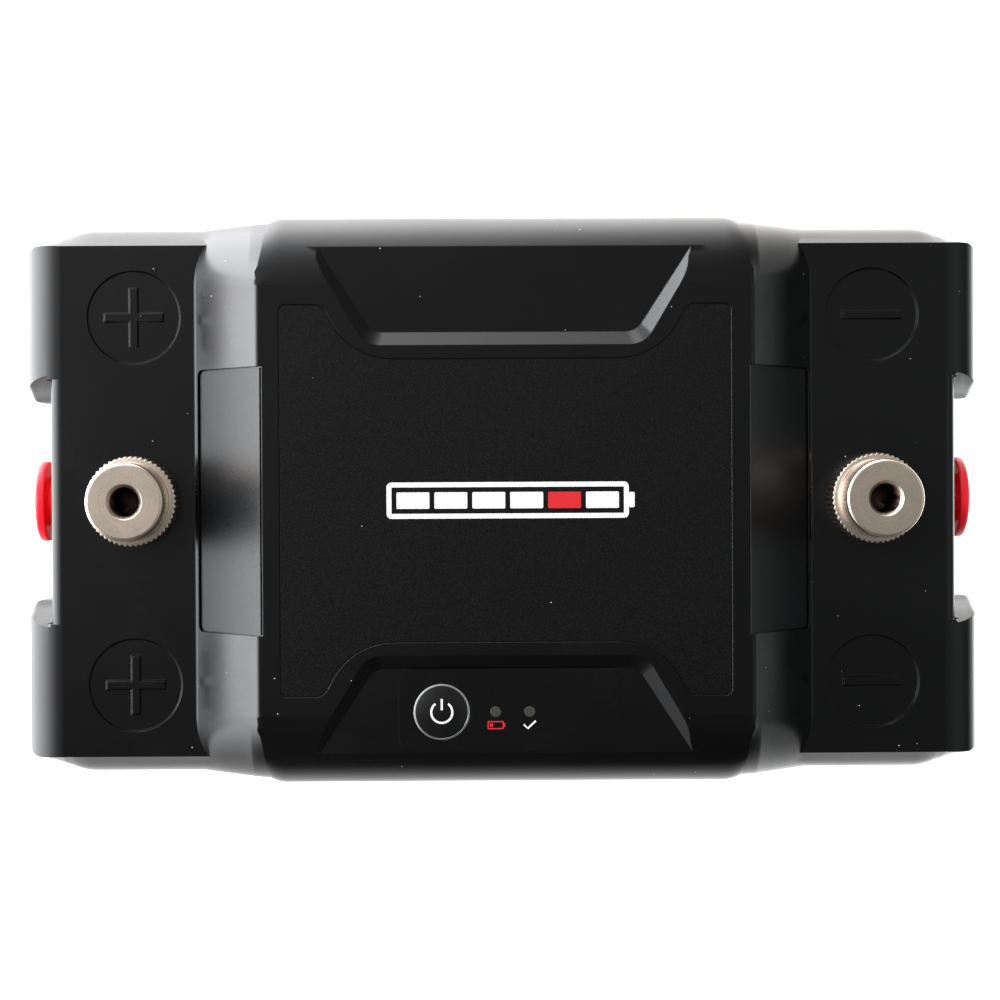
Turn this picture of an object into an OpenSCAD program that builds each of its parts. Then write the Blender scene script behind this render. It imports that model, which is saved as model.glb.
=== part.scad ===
// 12 V deep cycle battery: a moulded case with a raised centre band, a lid with two
// lower end decks, screw terminals on the decks and plugged side terminals in the ends.
// X runs along the length, Y across it and Z up. The origin is the middle of the base.
// The button side faces -Y and the positive end is at -X.

/* [Case] */
// Length over the end pillars
case_l = 229.4; // [228:0.2:233]
// Width of the two end sections
end_w = 131.6; // [130:0.2:132]
// Width over the raised centre band
band_w = 134; // [133.6:0.2:137]
// Length of the raised centre band
band_l = 114.8; // [112:0.4:116]
// Height of the end decks above the base
deck_z = 190; // [188:1:196]
// Height of the parting line between case and lid
split_z = 152; // [150:1:154]
// Wall thickness of case and lid
wall = 3.2; // [2.8:0.1:3.4]

/* [Lid] */
// Height of the centre hump above the decks
hump_h = 18; // [17:0.5:19]
// Length over which the hump slopes down to a deck
slope_run = 16.2; // [15:0.2:17]
// Half width of the flat top of the hump
hump_flat_y = 50; // [48:0.5:51]
// Radius of the edge between a deck and an end face
end_r = 9; // [6:0.5:9]
// Half width of a deck's flat top
deck_flat_y = 61; // [60:0.2:62]
// Depth of the two trapezoid recesses in the hump
recess_depth = 2.4; // [2:0.1:2.6]
// Depth of the channel in each end face
channel_depth = 6.3; // [5.5:0.1:6.5]
// Width of each end channel
channel_w = 48.4; // [46:0.2:50]
// Width of an end channel at the deck
channel_mouth_w = 60.6; // [58:0.2:62]
// Height over which an end channel widens to its mouth
funnel_h = 14; // [12:0.5:16]

/* [Terminals] */
// Distance of the terminals from the middle
terminal_x = 88.2; // [87.8:0.1:88.6]
// Height of a terminal post above the deck
post_h = 17.2; // [14:0.2:17.6]
// Diameter of the smooth post
post_d = 18.2; // [17:0.1:19]
// Diameter of the knurled collar
collar_d = 21.6; // [21:0.1:22.4]
// Height of the knurled collar
collar_h = 6.8; // [5:0.1:8]
// Number of teeth in the knurl
knurl_teeth = 52; // [36:2:60]
// Minor diameter of the M8 threads
thread_minor_d = 6.65; // [6.6:0.01:6.7]
// Depth of the top thread
thread_depth = 15; // [12:0.5:16]
// Depth of the side terminals below the deck
side_drop = 20; // [19.5:0.1:20.5]
// Diameter of the red plug heads
plug_head_d = 19.8; // [18:0.1:20]

/* [Controls] */
// Diameter of the power button
button_d = 13.1; // [12.6:0.1:13.4]
// Travel of the power button
button_travel = 0.6; // [0.4:0.05:0.6]
// Diameter of the two indicator lenses
lens_d = 2.5; // [2.2:0.1:2.8]

/* [Cells] */
// Length of a cell
cell_l = 148; // [146:0.5:148]
// Thickness of a cell
cell_t = 26.8; // [26:0.1:26.8]
// Height of a cell without its posts
cell_h = 128; // [120:1:128]

/* [Hidden] */
$fn = 64;
eps = 0.01;
top_z = deck_z + hump_h;
hx = case_l / 2;
hy = end_w / 2;
by = band_w / 2;
bx = band_l / 2;
slope_a = atan2(hump_h, slope_run);
base_x = bx + slope_run;
floor_z = wall;

// Shallow corner chamfer of the end sections, seen from above
corner_x = 101.5;
corner_y = 60.3;
corner_a = atan2(hy - corner_y, hx - corner_x);
corner_end_r = 2.5;
corner_side_r = 12;
band_corner_r = 5;
facet_h = 8.2;
facet_r = 20;
hump_r = by - hump_flat_y;
saddle_r = hy - hump_flat_y;
base_fillet_r = 1.2;
crest_r = 1.2;
wall_x = hx - channel_depth;
channel_crest_r = 2.6;

// Joint between case and lid
tongue_inset = 1.7;
tongue_h = 3;
bead_h = 1;
gap_inset = 0.7;
gap_h = 1.2;
plinth_inset = 1.4;
plinth_h = 5;

// Case side details
flute_xs = [68, 79, 90];
flute_r = 4;
flute_depth = 0.8;
flute_z = [24, 138];
case_label = [92, 108];
case_label_z = 83;
case_label_r = 5;
label_pocket = 0.6;
film_t = 0.3;

// Top label, with a notch round each recess
label_hx = 52.3;
label_hy = 45.35;
label_ear_x = 42.3;
label_notch_x = 35.5;
label_notch_y = 32.8;
label_corner_rs = [1.6, 3, 16];
label_gap = 0.25;
label_depth = 0.45;

// Trapezoid recesses
recess_y = 35.9;
recess_x = 32.3;
recess_flare = 0.593;
recess_wall = 3.1;
recess_r = 6;
recess_end_y = 72;
recess_z = top_z - recess_depth;
pad_z = recess_z - wall;
pad_x = 50;
pad_y = 33;

// Slope labels, laid along the slope from its crest
slope_len = hump_h / sin(slope_a);
slope_label_hy = 30.9;
slope_label_s = [-0.35, slope_len - 1.2];
slope_pocket_s = [-0.85, slope_label_s[1] + label_gap];
slope_pocket = 0.9;
slope_label_r = 1.6;

// Polarity marks
mark_d = 22.3;
mark_y = 43.9;
mark_depth = 0.6;
mark_arm = 14.2;
mark_bar = 2.2;

// Indicator panel
panel_c = [0.75, -48.7];
panel_size = [51.5, 19.2];
panel_r = 3.2;
button_xy = [-15, -49.1];
lens_xs = [-2.5, 5.4];
button_gap = 0.2;
button_seat = 1.7;
button_rest = button_travel + 0.1;
button_dome = 0.7;
stem_d = 4;
stem_gap = 0.5;
board_t = 1.6;
board_z = pad_z - 6.2;
board_top = board_z + board_t;
board_size = [66, 20];
board_screw_dx = 29;
board_screw_dy = 7;
board_screw_d = 2.2;
board_screw_up = 6;
board_head = [4.4, 1.6];
board_post_d = 6;
led_size = [3.2, 1.6, 1.2];
led_gap = 0.2;
lens_flange = [1.4, 0.8];
connector_size = [10, 6];
switch_w = 6;
switch_h = 3.4;
switch_floor = 0.6;
plunger_up = 0.7;
plunger_d = 3.4;
plunger_gap = 0.2;
plunger_low = 1.3;

// Terminals and brackets
shank_d = 16;
knurl_depth = 0.35;
knurl_edge = 0.6;
knurl_root = 0.1;
post_edge = 0.6;
countersink = [8.3, 0.8];
boss_d = 28;
boss_z = deck_z - wall - 5;
seal_t = 1;
seal_d = [collar_d - 1, shank_d + 0.4];
bar_t = 3;
bracket_z = boss_z - bar_t;
bracket_w = 24;
leg_x = wall_x - wall - 2;
leg_low = 12;
side_z = deck_z - side_drop;
side_body_d = 12.4;
side_tail_d = 10;
side_tail_x = leg_x - bar_t - 0.6;
side_thread_depth = 7.8;
side_flange = [18, 2];
plug_stem_r = 3.15;
plug_stem_tip = 0.6;
plug_stem_gap = 0.4;
plug_neck_r = 6.1;
plug_back = 3.4;
plug_face = 6;
plug_edge_r = 1.2;
plug_back_edge = 0.4;
post_nut_h = 5;
tab_y = 26;
lug_ring_d = 15;
lug_barrel_d = 9.6;
lug_barrel = [8, 20];

// Cell stack
sheet_t = 0.8;
pitch = cell_t + sheet_t;
stack_y = 2 * cell_t + 1.5 * sheet_t;
pad_t = 3.2;
cell_z = floor_z + pad_t;
cell_top = cell_z + cell_h;
cell_post_d = 14;
cell_post_h = 3;
cell_post_x = 52;
busbar_z = cell_top + cell_post_h;
stud_d = 6;
stud_top = busbar_z + 9.2;
nut_h = 5.6;
strap_t = 0.5;
strap_w = 12;
strap_zs = [30, 100];
foam_gap = 0.6;
side_foam_y = [stack_y + 0.6, hy - wall - 0.4];
foam_top = 148;
end_foam_x = [cell_l / 2 + foam_gap, wall_x - wall - 0.4];
end_foam_hy = 54;

// Battery management board, above the cells
plate_size = [84, 2 * side_foam_y[1]];
plate_t = 2;
standoff_h = 8;
bms_z = foam_top + plate_t + standoff_h;
bms_size = [130, 84];
bms_top = bms_z + board_t;
bms_screw = [36, 36];
mosfet_h = 3;
sink_size = [96, 46];
sink_base = 3;
fin_h = 5;
bms_lug_y = 33;
bms_lug_x = 50;
ribbon_x = 22;
connector_h = 4;
cable_d = 7.4;

// ---- Outline helpers ----

function arc(cx, cy, r, a0, a1, n = 6) =
    [for (i = [0:n]) let (a = a0 + (a1 - a0) * i / n) [cx + r * cos(a), cy + r * sin(a)]];

function unit(v) = v / norm(v);

// One rounded corner at p, between the neighbours a and b
function corner(a, p, b, r, n) =
    let (u = unit(a - p), v = unit(b - p), half = acos(u * v) / 2)
    let (c = p + unit(u + v) * r / sin(half), s = p + u * r / tan(half) - c)
    let (turn = (u[0] * v[1] - u[1] * v[0] > 0 ? -1 : 1) * (180 - 2 * half), a0 = atan2(s[1], s[0]))
    [for (i = [0:n]) c + r * [cos(a0 + turn * i / n), sin(a0 + turn * i / n)]];

function rounded(pts, radii, n = 6) =
    let (m = len(pts))
    [for (i = [0:m - 1]) each corner(pts[(i + m - 1) % m], pts[i], pts[(i + 1) % m], radii[i], n)];

function same(r, m) = [for (i = [1:m]) r];

function box_pts(x, y) = [[x, y], [-x, y], [-x, -y], [x, -y]];

// Draws one corner's points, written for the +X +Y quarter, in all four quarters
function four_ways(p) = concat(
    p, [for (i = [len(p) - 1:-1:0]) [-p[i][0], p[i][1]]],
    -p, [for (i = [len(p) - 1:-1:0]) [p[i][0], -p[i][1]]]);

module along_y(w) {
    rotate([90, 0, 0]) linear_extrude(w, center = true) children();
}

module along_x(l) {
    rotate([90, 0, 90]) linear_extrude(l, center = true) children();
}

module both_ends() {
    for (a = [0, 180]) rotate([0, 0, a]) children();
}

module round_plate(x, y, r, t) {
    linear_extrude(t) polygon(rounded(box_pts(x, y), same(r, 4)));
}

module pipe(d_out, d_in, h) {
    difference() {
        cylinder(d = d_out, h = h);
        translate([0, 0, -1]) cylinder(d = d_in, h = h + 2);
    }
}

module hex_nut(flats, h, hole_d) {
    difference() {
        rotate([0, 0, 30]) cylinder(d = flats / cos(30), h = h, $fn = 6);
        translate([0, 0, -1]) cylinder(d = hole_d, h = h + 2);
    }
}

// ---- Swept leads ----

// Catmull-Rom curve through the points, with k steps between each two
function smooth(p, k) =
    let (m = len(p))
    [for (i = [0:m - 2], j = [0:(i == m - 2 ? k : k - 1)])
        let (t = j / k, a = p[max(i - 1, 0)], b = p[i], c = p[i + 1], d = p[min(i + 2, m - 1)])
        0.5 * (2 * b + (c - a) * t + (2 * a - 5 * b + 4 * c - d) * t * t
            + (3 * b - a - 3 * c + d) * t * t * t)];

// Flattened tube along a path, with its wide side along the given direction
module sweep(path, wide, flat, side, n = 8) {
    m = len(path);
    rings = [for (i = [0:m - 1])
        let (t = unit(path[min(i + 1, m - 1)] - path[max(i - 1, 0)]))
        let (b = unit(cross(t, side)), w = cross(b, t))
        for (j = [0:n - 1]) path[i] + wide / 2 * cos(360 * j / n) * w + flat / 2 * sin(360 * j / n) * b];
    caps = [[for (j = [0:n - 1]) j], [for (j = [n - 1:-1:0]) (m - 1) * n + j]];
    skin = [for (i = [0:m - 2], j = [0:n - 1])
        let (a = i * n + j, b = i * n + (j + 1) % n)
        each [[a, a + n, b + n], [a, b + n, b]]];
    polyhedron(rings, concat(caps, skin));
}

// ---- Body outline, drawn inset by g ----

function end_corner(g) = [
    [hx - g, corner_y - g * cos(corner_a) / (1 + sin(corner_a))],
    [corner_x - g * sin(corner_a) / (1 + cos(corner_a)), hy - g]];

module end_plan(g) {
    pair = [max(corner_end_r - g, 0.5), corner_side_r];
    radii = concat(pair, [pair[1], pair[0]], pair, [pair[1], pair[0]]);
    polygon(rounded(four_ways(end_corner(g)), radii, 4));
}

module band_plan(g) {
    polygon(rounded(box_pts(bx - g, by - g), same(max(band_corner_r - g, 0.5), 4)));
}

module body_plan(g) {
    difference() {
        union() {
            end_plan(g);
            band_plan(g);
        }
        for (s = [-1, 1]) translate([s * (hx + 5), 0])
            square([2 * (channel_depth + 5 + g), channel_w + 2 * g], center = true);
    }
}

module body_ring(g_out, g_in, z, h) {
    translate([0, 0, z]) linear_extrude(h) difference() {
        body_plan(g_out);
        body_plan(g_in);
    }
}

// ---- Case ----

module case() {
    color("#1b1c1e") difference() {
        union() {
            linear_extrude(plinth_h) body_plan(plinth_inset);
            translate([0, 0, plinth_h]) linear_extrude(split_z - gap_h - plinth_h) body_plan(0);
            translate([0, 0, split_z - gap_h]) linear_extrude(gap_h) body_plan(gap_inset);
            body_ring(tongue_inset, wall, split_z - eps, tongue_h + eps);
        }
        translate([0, 0, floor_z]) linear_extrude(split_z) body_plan(wall);
        for (x = flute_xs, sx = [-1, 1], sy = [-1, 1])
            translate([sx * x, sy * (hy + flute_r - flute_depth), flute_z[0]])
                cylinder(r = flute_r, h = flute_z[1] - flute_z[0]);
        for (s = [-1, 1]) translate([0, s * (by + 4 - label_pocket), case_label_z]) along_y(8)
            polygon(rounded(box_pts(case_label[0] / 2, case_label[1] / 2), same(case_label_r, 4)));
    }
}

module case_film(s) {
    hx_film = case_label[0] / 2 - label_gap;
    hz_film = case_label[1] / 2 - label_gap;
    color("#23262a") translate([0, s * (by - label_pocket + film_t / 2), case_label_z])
        along_y(film_t) polygon(rounded(box_pts(hx_film, hz_film), same(case_label_r, 4)));
}

module front_label() {
    case_film(-1);
}

module back_label() {
    case_film(1);
}

module lid_seal() {
    color("#3a3a3a") body_ring(tongue_inset, wall, split_z + tongue_h, bead_h);
}

// ---- Lid ----

// Flat deck with a drafted flank at each side, seen along X
module end_side_profile() {
    foot = [hy, split_z];
    top = [deck_flat_y, deck_z];
    right = concat([foot], corner(foot, [hy, deck_z - facet_h], top, facet_r, 6), [top]);
    left = [for (i = [len(right) - 1:-1:0]) [-right[i][0], right[i][1]]];
    polygon(concat(right, left));
}

module end_profile() {
    polygon(rounded([[hx, deck_z], [-hx, deck_z], [-hx, split_z], [hx, split_z]],
        [end_r, end_r, eps, eps]));
}

module end_block() {
    intersection() {
        translate([0, 0, split_z]) linear_extrude(deck_z - split_z) end_plan(0);
        along_y(band_w) end_profile();
        along_x(case_l) end_side_profile();
    }
}

// Rounded top edges of the hump, seen along X
module hump_section(y, r, top) {
    polygon(concat(arc(y - r, top - r, r, 0, 90, 12), arc(r - y, top - r, r, 90, 180, 12),
        [[-y, split_z], [y, split_z]]));
}

// Sloping ends of the hump, seen along Y
module slope_profile() {
    foot = base_fillet_r * tan(slope_a / 2);
    crest = crest_r * tan(slope_a / 2);
    right = concat(
        [[base_x + foot, deck_z - 4]],
        arc(base_x + foot, deck_z + base_fillet_r, base_fillet_r, -90, -90 - slope_a),
        arc(bx - crest, top_z - crest_r, crest_r, 90 - slope_a, 90, 3));
    left = [for (i = [len(right) - 1:-1:0]) [-right[i][0], right[i][1]]];
    polygon(concat(right, left));
}

module saddle() {
    intersection() {
        translate([0, 0, split_z]) linear_extrude(top_z - split_z) end_plan(0);
        along_y(band_w) slope_profile();
        along_x(case_l) hump_section(hy, saddle_r, top_z);
    }
}

module hump_block() {
    intersection() {
        translate([0, 0, split_z]) linear_extrude(top_z - split_z) band_plan(0);
        along_x(case_l) hump_section(by, hump_r, top_z);
    }
}

module end_funnel(g) {
    low = deck_z - funnel_h;
    for (s = [-1, 1]) translate([s * (hx + 5), 0, 0])
        along_x(2 * (channel_depth + 5 + g)) polygon([
            [channel_w / 2 + g, split_z - 2], [channel_w / 2 + g, low],
            [channel_mouth_w / 2 + g, deck_z + 2], [-channel_mouth_w / 2 - g, deck_z + 2],
            [-channel_w / 2 - g, low], [-channel_w / 2 - g, split_z - 2]]);
}

// Rounded crest of each channel's back wall
module channel_crest() {
    r = channel_crest_r;
    for (s = [-1, 1]) difference() {
        translate([s * (wall_x - r / 2 + 1), 0, deck_z - r / 2 + 1])
            cube([r + 2, channel_mouth_w - 2, r + 2], center = true);
        translate([s * (wall_x - r), 0, deck_z - r]) rotate([90, 0, 0])
            cylinder(r = r, h = channel_w * 2, center = true);
    }
}

// Space inside the lid
module lid_cavity() {
    low = split_z - 1;
    inner_x = bx - wall / sin(slope_a) + (wall * slope_run / hump_h);
    deep = deck_z - wall - 2;
    reach = inner_x + (top_z - wall - deep) * slope_run / hump_h;
    difference() {
        union() {
            translate([0, 0, low]) linear_extrude(deck_z - wall - low) body_plan(wall);
            intersection() {
                along_x(case_l) hump_section(hy - wall, saddle_r - wall, top_z - wall);
                along_y(band_w) polygon([[-reach, deep], [reach, deep],
                    [inner_x, top_z - wall], [-inner_x, top_z - wall]]);
            }
        }
        end_funnel(wall);
        for (s = [-1, 1]) translate([-pad_x, s * (pad_y + 20) - 20, pad_z]) cube([2 * pad_x, 40, 20]);
        both_ends() translate([terminal_x, 0, boss_z]) cylinder(d = boss_d, h = 20);
        for (x = [-1, 1], y = [-1, 1])
            translate([panel_c[0] + x * board_screw_dx, panel_c[1] + y * board_screw_dy, board_top])
                cylinder(d = board_post_d, h = 20);
    }
}

module recess_cut(s) {
    end_x = recess_x + recess_flare * (recess_end_y - recess_y);
    mirror([0, s > 0 ? 0 : 1, 0]) hull() {
        for (k = [0, 1]) {
            g = recess_wall * (1 - k);
            z = recess_z + k * (recess_depth + eps);
            side_g = g / cos(atan(recess_flare)) - recess_flare * g;
            translate([0, 0, z]) linear_extrude(eps) polygon(rounded(
                [[recess_x - side_g, recess_y + g], [end_x - side_g, recess_end_y],
                    [side_g - end_x, recess_end_y], [side_g - recess_x, recess_y + g]],
                [recess_r - g / 2, eps, eps, recess_r - g / 2]));
        }
    }
}

function label_pts(g) = four_ways([
    [label_hx - g, label_hy - g], [label_ear_x + g * 0.6, label_hy - g],
    [label_notch_x + g * 0.5, label_notch_y - g]]);

// Corner radii run through one quarter and back through the next
function label_radii() =
    let (q = label_corner_rs)
    concat(q, [q[2], q[1], q[0]], q, [q[2], q[1], q[0]]);

module slope_frame(side) {
    rotate([0, 0, side < 0 ? 180 : 0]) translate([bx, 0, top_z]) rotate([0, slope_a, 0]) children();
}

module slope_outline(s0, s1, y) {
    polygon(rounded([[s1, y], [s0, y], [s0, -y], [s1, -y]], [slope_label_r, eps, eps, slope_label_r]));
}

module polarity_mark(plus) {
    difference() {
        translate([0, 0, deck_z - mark_depth]) cylinder(d = mark_d, h = 5);
        translate([-mark_arm / 2, -mark_bar / 2, deck_z - 1]) cube([mark_arm, mark_bar, 1]);
        if (plus) translate([-mark_bar / 2, -mark_arm / 2, deck_z - 1]) cube([mark_bar, mark_arm, 1]);
    }
}

module terminal_cuts() {
    both_ends() {
        translate([terminal_x, 0, boss_z - 1]) cylinder(d = shank_d + 0.2, h = 30);
        translate([terminal_x, 0, deck_z - seal_t]) cylinder(d = seal_d[0] + 0.2, h = 10);
        translate([wall_x - wall - 5, 0, side_z]) rotate([0, 90, 0])
            cylinder(d = side_body_d + 0.2, h = 20);
    }
}

module panel_cuts() {
    translate([button_xy[0], button_xy[1], recess_z - button_seat])
        cylinder(d = button_d + 2 * button_gap, h = 10);
    translate([button_xy[0], button_xy[1], pad_z - 1]) cylinder(d = stem_d + 2 * stem_gap, h = 10);
    for (x = lens_xs) translate([x, button_xy[1], pad_z - 1]) cylinder(d = lens_d + 0.1, h = 10);
    for (x = [-1, 1], y = [-1, 1])
        translate([panel_c[0] + x * board_screw_dx, panel_c[1] + y * board_screw_dy, board_top - 1])
            cylinder(d = 2.3, h = 7);
}

module lid() {
    color("#16171a") difference() {
        union() {
            end_block();
            saddle();
            hump_block();
        }
        lid_cavity();
        body_ring(tongue_inset - 0.1, wall + 1, split_z - 1, 1 + tongue_h + bead_h);
        end_funnel(0);
        channel_crest();
        translate([0, 0, top_z - label_depth]) linear_extrude(5)
            polygon(rounded(label_pts(0), label_radii()));
        recess_cut(1);
        recess_cut(-1);
        for (side = [-1, 1]) slope_frame(side) translate([0, 0, -slope_pocket])
            linear_extrude(5) slope_outline(slope_pocket_s[0], slope_pocket_s[1], slope_label_hy + label_gap);
        for (x = [-1, 1], y = [-1, 1]) translate([x * terminal_x, y * mark_y, 0]) polarity_mark(x < 0);
        terminal_cuts();
        panel_cuts();
    }
}

module top_label() {
    color("#1f2022") translate([0, 0, top_z - label_depth]) linear_extrude(film_t)
        polygon(rounded(label_pts(label_gap), label_radii()));
}

module slope_label(side) {
    color("#2b2d31") slope_frame(side) translate([0, 0, -slope_pocket]) linear_extrude(film_t)
        slope_outline(slope_label_s[0], slope_label_s[1], slope_label_hy);
}

module slope_label_positive() {
    slope_label(-1);
}

module slope_label_negative() {
    slope_label(1);
}

// ---- Power button and indicators ----

module button_film() {
    color("#131416") difference() {
        translate([panel_c[0], panel_c[1], recess_z])
            round_plate(panel_size[0] / 2, panel_size[1] / 2, panel_r, film_t);
        translate([button_xy[0], button_xy[1], recess_z - 1])
            cylinder(d = button_d + 2 * button_gap, h = 3);
        for (x = lens_xs) translate([x, button_xy[1], recess_z - 1]) cylinder(d = lens_d + 0.1, h = 3);
    }
}

module power_button() {
    r = button_d / 2;
    low = recess_z - button_seat + button_rest;
    rim = recess_z + film_t;
    sphere_r = (r * r + button_dome * button_dome) / (2 * button_dome);
    color("#0e0f10") translate([button_xy[0], button_xy[1], 0]) union() {
        intersection() {
            translate([0, 0, low]) cylinder(r = r, h = 5);
            translate([0, 0, rim + button_dome - sphere_r]) sphere(r = sphere_r, $fn = 96);
        }
        translate([0, 0, board_top + switch_h + plunger_up + 0.05])
            cylinder(d = stem_d, h = low - board_top - switch_h - plunger_up);
    }
}

module tact_switch() {
    color("#4a4d52") translate([button_xy[0], button_xy[1], board_top]) difference() {
        translate([-switch_w / 2, -switch_w / 2, 0]) cube([switch_w, switch_w, switch_h]);
        translate([0, 0, switch_floor]) cylinder(d = plunger_d + 2 * plunger_gap, h = switch_h);
    }
}

module switch_plunger() {
    color("#c9a227") translate([button_xy[0], button_xy[1], board_top + plunger_low])
        cylinder(d = plunger_d, h = switch_h + plunger_up - plunger_low);
}

module lens(x) {
    low = board_top + led_size[2] + led_gap;
    color("#8d8a84") translate([x, button_xy[1], 0]) {
        translate([0, 0, low]) cylinder(d = lens_d, h = recess_z + film_t - low);
        translate([0, 0, pad_z - lens_flange[1]])
            cylinder(d = lens_d + lens_flange[0], h = lens_flange[1]);
    }
}

module lens_low() {
    lens(lens_xs[0]);
}

module lens_ok() {
    lens(lens_xs[1]);
}

module indicator_board() {
    color("#1c5a33") difference() {
        union() {
            translate([panel_c[0], panel_c[1], board_z])
                round_plate(board_size[0] / 2, board_size[1] / 2, 1, board_t);
            for (x = lens_xs) translate([x - led_size[0] / 2, button_xy[1] - led_size[1] / 2, board_top])
                cube(led_size);
            translate([ribbon_x - connector_size[0] / 2, panel_c[1] - connector_size[1] / 2,
                board_z - connector_h]) cube([connector_size[0], connector_size[1], connector_h]);
        }
        for (x = [-1, 1], y = [-1, 1])
            translate([panel_c[0] + x * board_screw_dx, panel_c[1] + y * board_screw_dy, board_z - 1])
                cylinder(d = board_screw_d + 0.2, h = 4);
    }
}

module indicator_screws() {
    color("#b9bcc0") for (x = [-1, 1], y = [-1, 1])
        translate([panel_c[0] + x * board_screw_dx, panel_c[1] + y * board_screw_dy, 0]) {
            translate([0, 0, board_z]) cylinder(d = board_screw_d, h = board_screw_up);
            translate([0, 0, board_z - board_head[1]]) cylinder(d = board_head[0], h = board_head[1]);
        }
}

module indicator_ribbon() {
    low = bms_top + connector_h;
    top = board_z - connector_h;
    route = [[ribbon_x, panel_c[1], top], [ribbon_x, panel_c[1], top - 5], [ribbon_x, -45, 179],
        [ribbon_x, -38, 172], [ribbon_x, -34, low + 4], [ribbon_x, -34, low]];
    color("#cfd2d6") sweep(smooth(route, 4), 8, 1.4, [1, 0, 0]);
}

// ---- Terminals ----

module terminal() {
    low = boss_z - bar_t - post_nut_h - 2;
    top = deck_z + post_h;
    collar_top = deck_z + collar_h;
    root_r = collar_d / 2 - knurl_depth;
    core_r = root_r - knurl_root;
    teeth = [for (i = [0:2 * knurl_teeth - 1])
        let (r = collar_d / 2 - (i % 2) * knurl_depth, a = 180 * i / knurl_teeth) [r * cos(a), r * sin(a)]];
    color("#d9cfc0") translate([terminal_x, 0, 0]) difference() {
        union() {
            rotate_extrude() polygon([[0, low], [shank_d / 2, low], [shank_d / 2, deck_z],
                [root_r - knurl_edge, deck_z], [core_r, deck_z + knurl_edge],
                [core_r, collar_top - knurl_edge], [root_r - knurl_edge, collar_top],
                [post_d / 2, collar_top], [post_d / 2, top - post_edge],
                [post_d / 2 - post_edge, top], [0, top]]);
            translate([0, 0, deck_z + knurl_edge]) linear_extrude(collar_h - 2 * knurl_edge) polygon(teeth);
        }
        translate([0, 0, top - thread_depth]) cylinder(d = thread_minor_d, h = thread_depth + 1);
        translate([0, 0, top - countersink[1]])
            cylinder(d1 = thread_minor_d, d2 = countersink[0], h = countersink[1] + eps);
    }
}

module terminal_seal() {
    color("#2a2a2a") translate([terminal_x, 0, deck_z - seal_t]) pipe(seal_d[0], seal_d[1], seal_t);
}

module bracket() {
    color("#b8693a") difference() {
        union() {
            translate([terminal_x - bracket_w / 2, -bracket_w / 2, bracket_z])
                cube([leg_x - terminal_x + bracket_w / 2, bracket_w, bar_t]);
            translate([terminal_x - 9, -tab_y - 9, bracket_z]) cube([18, tab_y, bar_t]);
            translate([leg_x - bar_t, -bracket_w / 2, side_z - leg_low])
                cube([bar_t, bracket_w, bracket_z + bar_t - side_z + leg_low]);
        }
        translate([terminal_x, 0, bracket_z - 1]) cylinder(d = shank_d + 0.2, h = bar_t + 2);
        translate([terminal_x, -tab_y, bracket_z - 1]) cylinder(d = stud_d + 0.4, h = bar_t + 2);
        translate([leg_x - bar_t - 1, 0, side_z]) rotate([0, 90, 0])
            cylinder(d = side_tail_d + 0.2, h = bar_t + 2);
    }
}

module side_terminal() {
    color("#d9cfc0") translate([0, 0, side_z]) rotate([0, 90, 0]) difference() {
        union() {
            translate([0, 0, side_tail_x]) cylinder(d = side_tail_d, h = leg_x - side_tail_x + 1);
            translate([0, 0, leg_x]) cylinder(d = side_flange[0], h = side_flange[1]);
            translate([0, 0, leg_x]) cylinder(d = side_body_d, h = wall_x - leg_x);
        }
        translate([0, 0, wall_x - side_thread_depth]) cylinder(d = thread_minor_d, h = 20);
    }
}

// Pull-off plug that covers a side terminal
module side_plug() {
    r = plug_head_d / 2;
    back = wall_x + plug_back;
    face = wall_x + plug_face;
    stem = wall_x - side_thread_depth + plug_stem_gap;
    rim = arc(r - plug_edge_r, face - plug_edge_r - 0.1, plug_edge_r, 0, 75, 4);
    color("#d8121c") translate([0, 0, side_z]) rotate([0, 90, 0]) rotate_extrude() polygon(concat(
        [[0, stem], [plug_stem_r - plug_stem_tip, stem], [plug_stem_r, stem + plug_stem_tip],
            [plug_stem_r, wall_x + 0.1], [plug_neck_r, wall_x + 0.1], [plug_neck_r, back],
            [r - plug_back_edge, back], [r, back + plug_back_edge]],
        rim, [[0, face]]));
}

module terminal_positive() {
    rotate([0, 0, 180]) terminal();
}

module terminal_negative() {
    terminal();
}

module terminal_seal_positive() {
    rotate([0, 0, 180]) terminal_seal();
}

module terminal_seal_negative() {
    terminal_seal();
}

module terminal_nuts() {
    color("#c9ccd0") both_ends() translate([terminal_x, 0, bracket_z - post_nut_h])
        hex_nut(22, post_nut_h, shank_d + 0.1);
}

module bracket_positive() {
    rotate([0, 0, 180]) bracket();
}

module bracket_negative() {
    bracket();
}

module side_terminal_positive() {
    rotate([0, 0, 180]) side_terminal();
}

module side_terminal_negative() {
    side_terminal();
}

module side_plug_positive() {
    rotate([0, 0, 180]) side_plug();
}

module side_plug_negative() {
    side_plug();
}

module tab_bolts() {
    color("#c9ccd0") both_ends() translate([terminal_x, -tab_y, 0]) {
        translate([0, 0, boss_z]) rotate([0, 0, 30]) cylinder(d = 10 / cos(30), h = 4, $fn = 6);
        translate([0, 0, bracket_z - bar_t - nut_h - 1]) cylinder(d = stud_d, h = 2 * bar_t + nut_h + 1);
    }
}

module tab_nuts() {
    color("#c9ccd0") both_ends() translate([terminal_x, -tab_y, bracket_z - bar_t - nut_h])
        hex_nut(10, nut_h, stud_d + 0.1);
}

// ---- Cells ----

function cell_y(i) = (i - 2.5) * pitch;

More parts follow.
